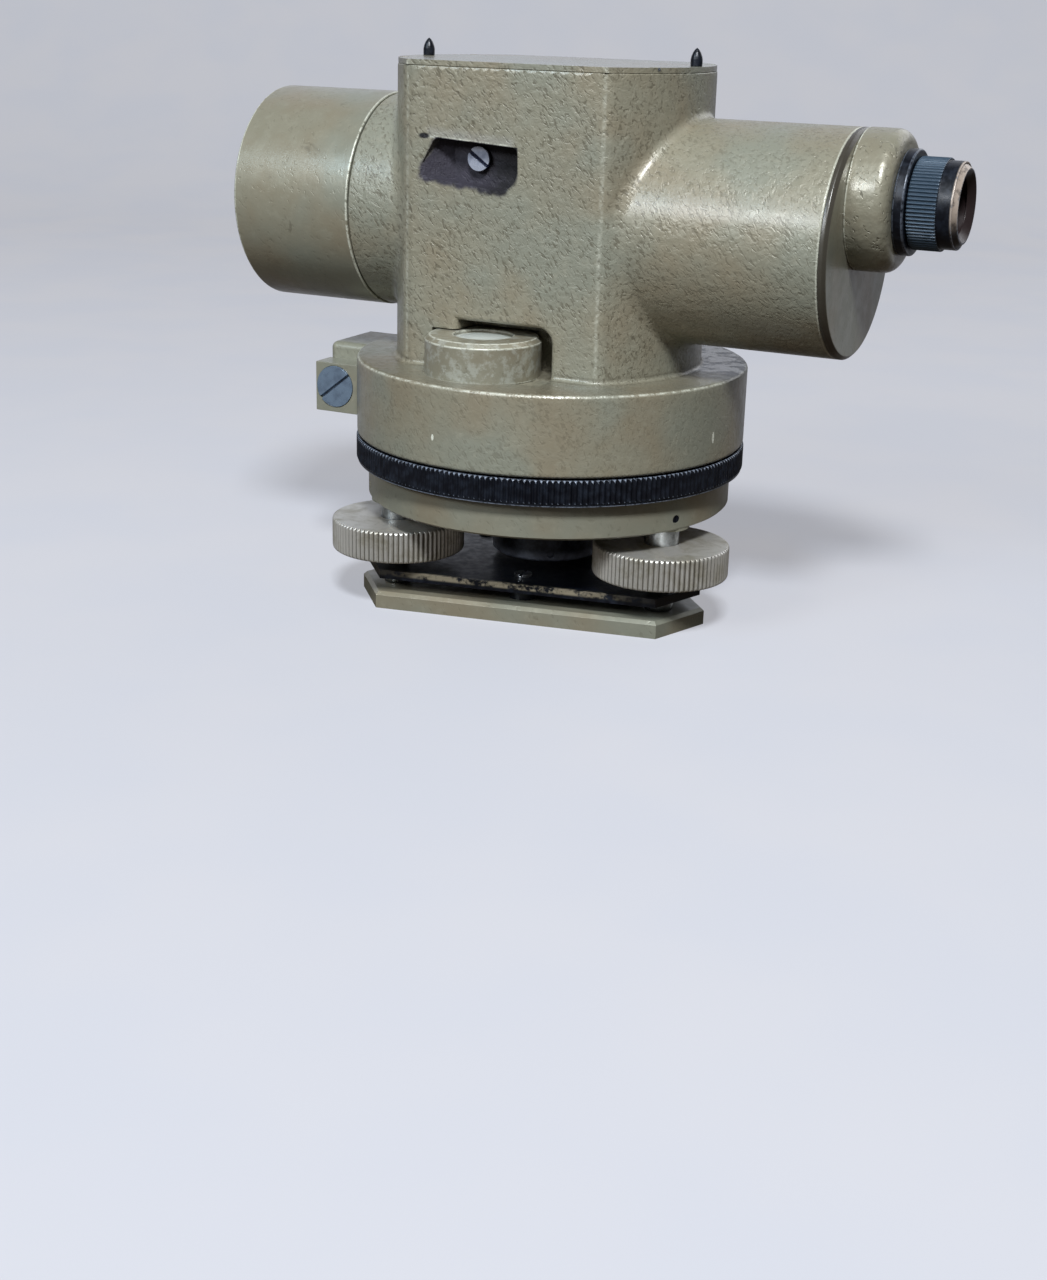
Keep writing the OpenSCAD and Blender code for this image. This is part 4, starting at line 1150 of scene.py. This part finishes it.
def make_circle():
    """Knurled setting ring of the horizontal circle."""
    low, high = CIRCLE_LOW[2], CIRCLE_HIGH[2]
    outer, inner, lip = CIRCLE_HIGH[1], 40.05, low + 0.9
    corners = [(low, inner, 0.15), (low, outer - 0.3, 0.3), (lip, outer - 0.3, 0.1), (lip, outer, 0.2),
               (high, outer, 0.6), (high, inner, 0.15)]
    return keep(turned("circle_grip", corners, knurl=(232, 0.55, lip, high)), "circle_ring")


def make_foot_knob(node):
    """Knob of a foot screw, hollowed below."""
    (x0, y0, low), (x1, y1, high) = box_mm(node)
    outer, bore = 17.9, 4.6
    rim, hollow = outer - 4, low + 1.5
    corners = [(low, rim, 0.3), (low, outer, 0.8), (high, outer, 0.8), (high, bore, 0.3),
               (hollow, bore, 0.1), (hollow, rim, 0.3)]
    centre = ((x0 + x1) / 2, (y0 + y1) / 2, 0)
    return keep(turned(node + "_grip", corners, "z", centre, knurl=(81, 0.65, low, high)), node)


def make_bubble():
    """Round housing of the circular bubble, worn along its chamfer."""
    low, high, vial_r = BUBBLE_LOW[2] - 0.4, BUBBLE_HIGH[2], 7.6
    chamfer, floor = 1.2, low + 3
    corners = [(low, 0), (low, BUBBLE_R, 0.25), (high - chamfer, BUBBLE_R, 0.3),
               (high, BUBBLE_R - chamfer, 0.3), (high, vial_r, 0.3), (floor, vial_r, 0.1), (floor, 0)]
    return keep(turned("bubble_case", corners, "z", (BUBBLE_X, BUBBLE_Y, 0)), "bubble_housing")


def make_focus_knob():
    """Focus knob with its hub towards the tower."""
    (x0, low, z0), (x1, high, z1) = box_mm("focus_knob")
    outer, hub, bore = (x1 - x0) / 2, 6, 1.9
    grip, dish, bore_end = low + 2, high - 0.7, low + 8.8
    corners = [(low, bore, 0.1), (low, hub, 0.3), (grip, hub, 0.3), (grip, outer, 0.8), (high, outer, 0.8),
               (high, 5, 0.4), (dish, 4.4, 0.3), (dish, 0), (bore_end, 0), (bore_end, bore, 0.1)]
    centre = ((x0 + x1) / 2, 0, (z0 + z1) / 2)
    return keep(turned("focus_grip", corners, "y", centre, knurl=(50, 0.6, grip, high)), "focus_knob")


def make_tangent_knob():
    """Knob of the slow motion with its journal."""
    (x0, low, _), (x1, high, _) = box_mm("tangent_knob")
    outer, journal, bore = (x1 - x0) / 2, 6, 3
    grip, dish, bore_end = low + 3.3, high - 0.6, low + 13.6
    corners = [(low, bore, 0.1), (low, journal, 0.2), (grip, journal, 0.2), (grip, outer, 0.7),
               (high, outer, 0.9), (high, 4.6, 0.4), (dish, 4.2, 0.2), (dish, 0), (bore_end, 0),
               (bore_end, bore, 0.1)]
    knurl = (40, 0.6, grip, high)
    return keep(turned("tangent_grip", corners, "y", (TAN_X, 0, TAN_Z), knurl=knurl), "tangent_knob")


make_housing()
make_sleeve()
make_boss()
make_collar()
make_dioptre()
make_circle()
make_bubble()
make_focus_knob()
make_tangent_knob()
for foot in "abc":
    make_foot_knob("foot_knob_" + foot)


# Pieces whose solid is right as it is, with their edges eased
EASED = {
    "base_plate": 0.35, "spring_plate": 0.2, "tripod_bush": 0.2, "tangent_block": 0.45, "tangent_plug": 0.2,
    "lid": 0.3, "front_sight": 0.15, "rear_sight": 0.15, "hub_cup": 0.25, "rear_cover": 0.2,
    "spring_plate_posts": 0.2, "spring_plate_screws": 0.12, "recess_screw": 0.12, "lid_screws": 0.12,
    "tribrach_head": 0.3,
}
for node, width in EASED.items():
    keep(bevelled(node, width), node)

for name, node in frame["nodes"].items():
    if not node.hide_render:
        node.data.materials.clear()
        node.data.materials.append(OWN_FINISH.get(name) or MATERIAL[SLOT[name]])
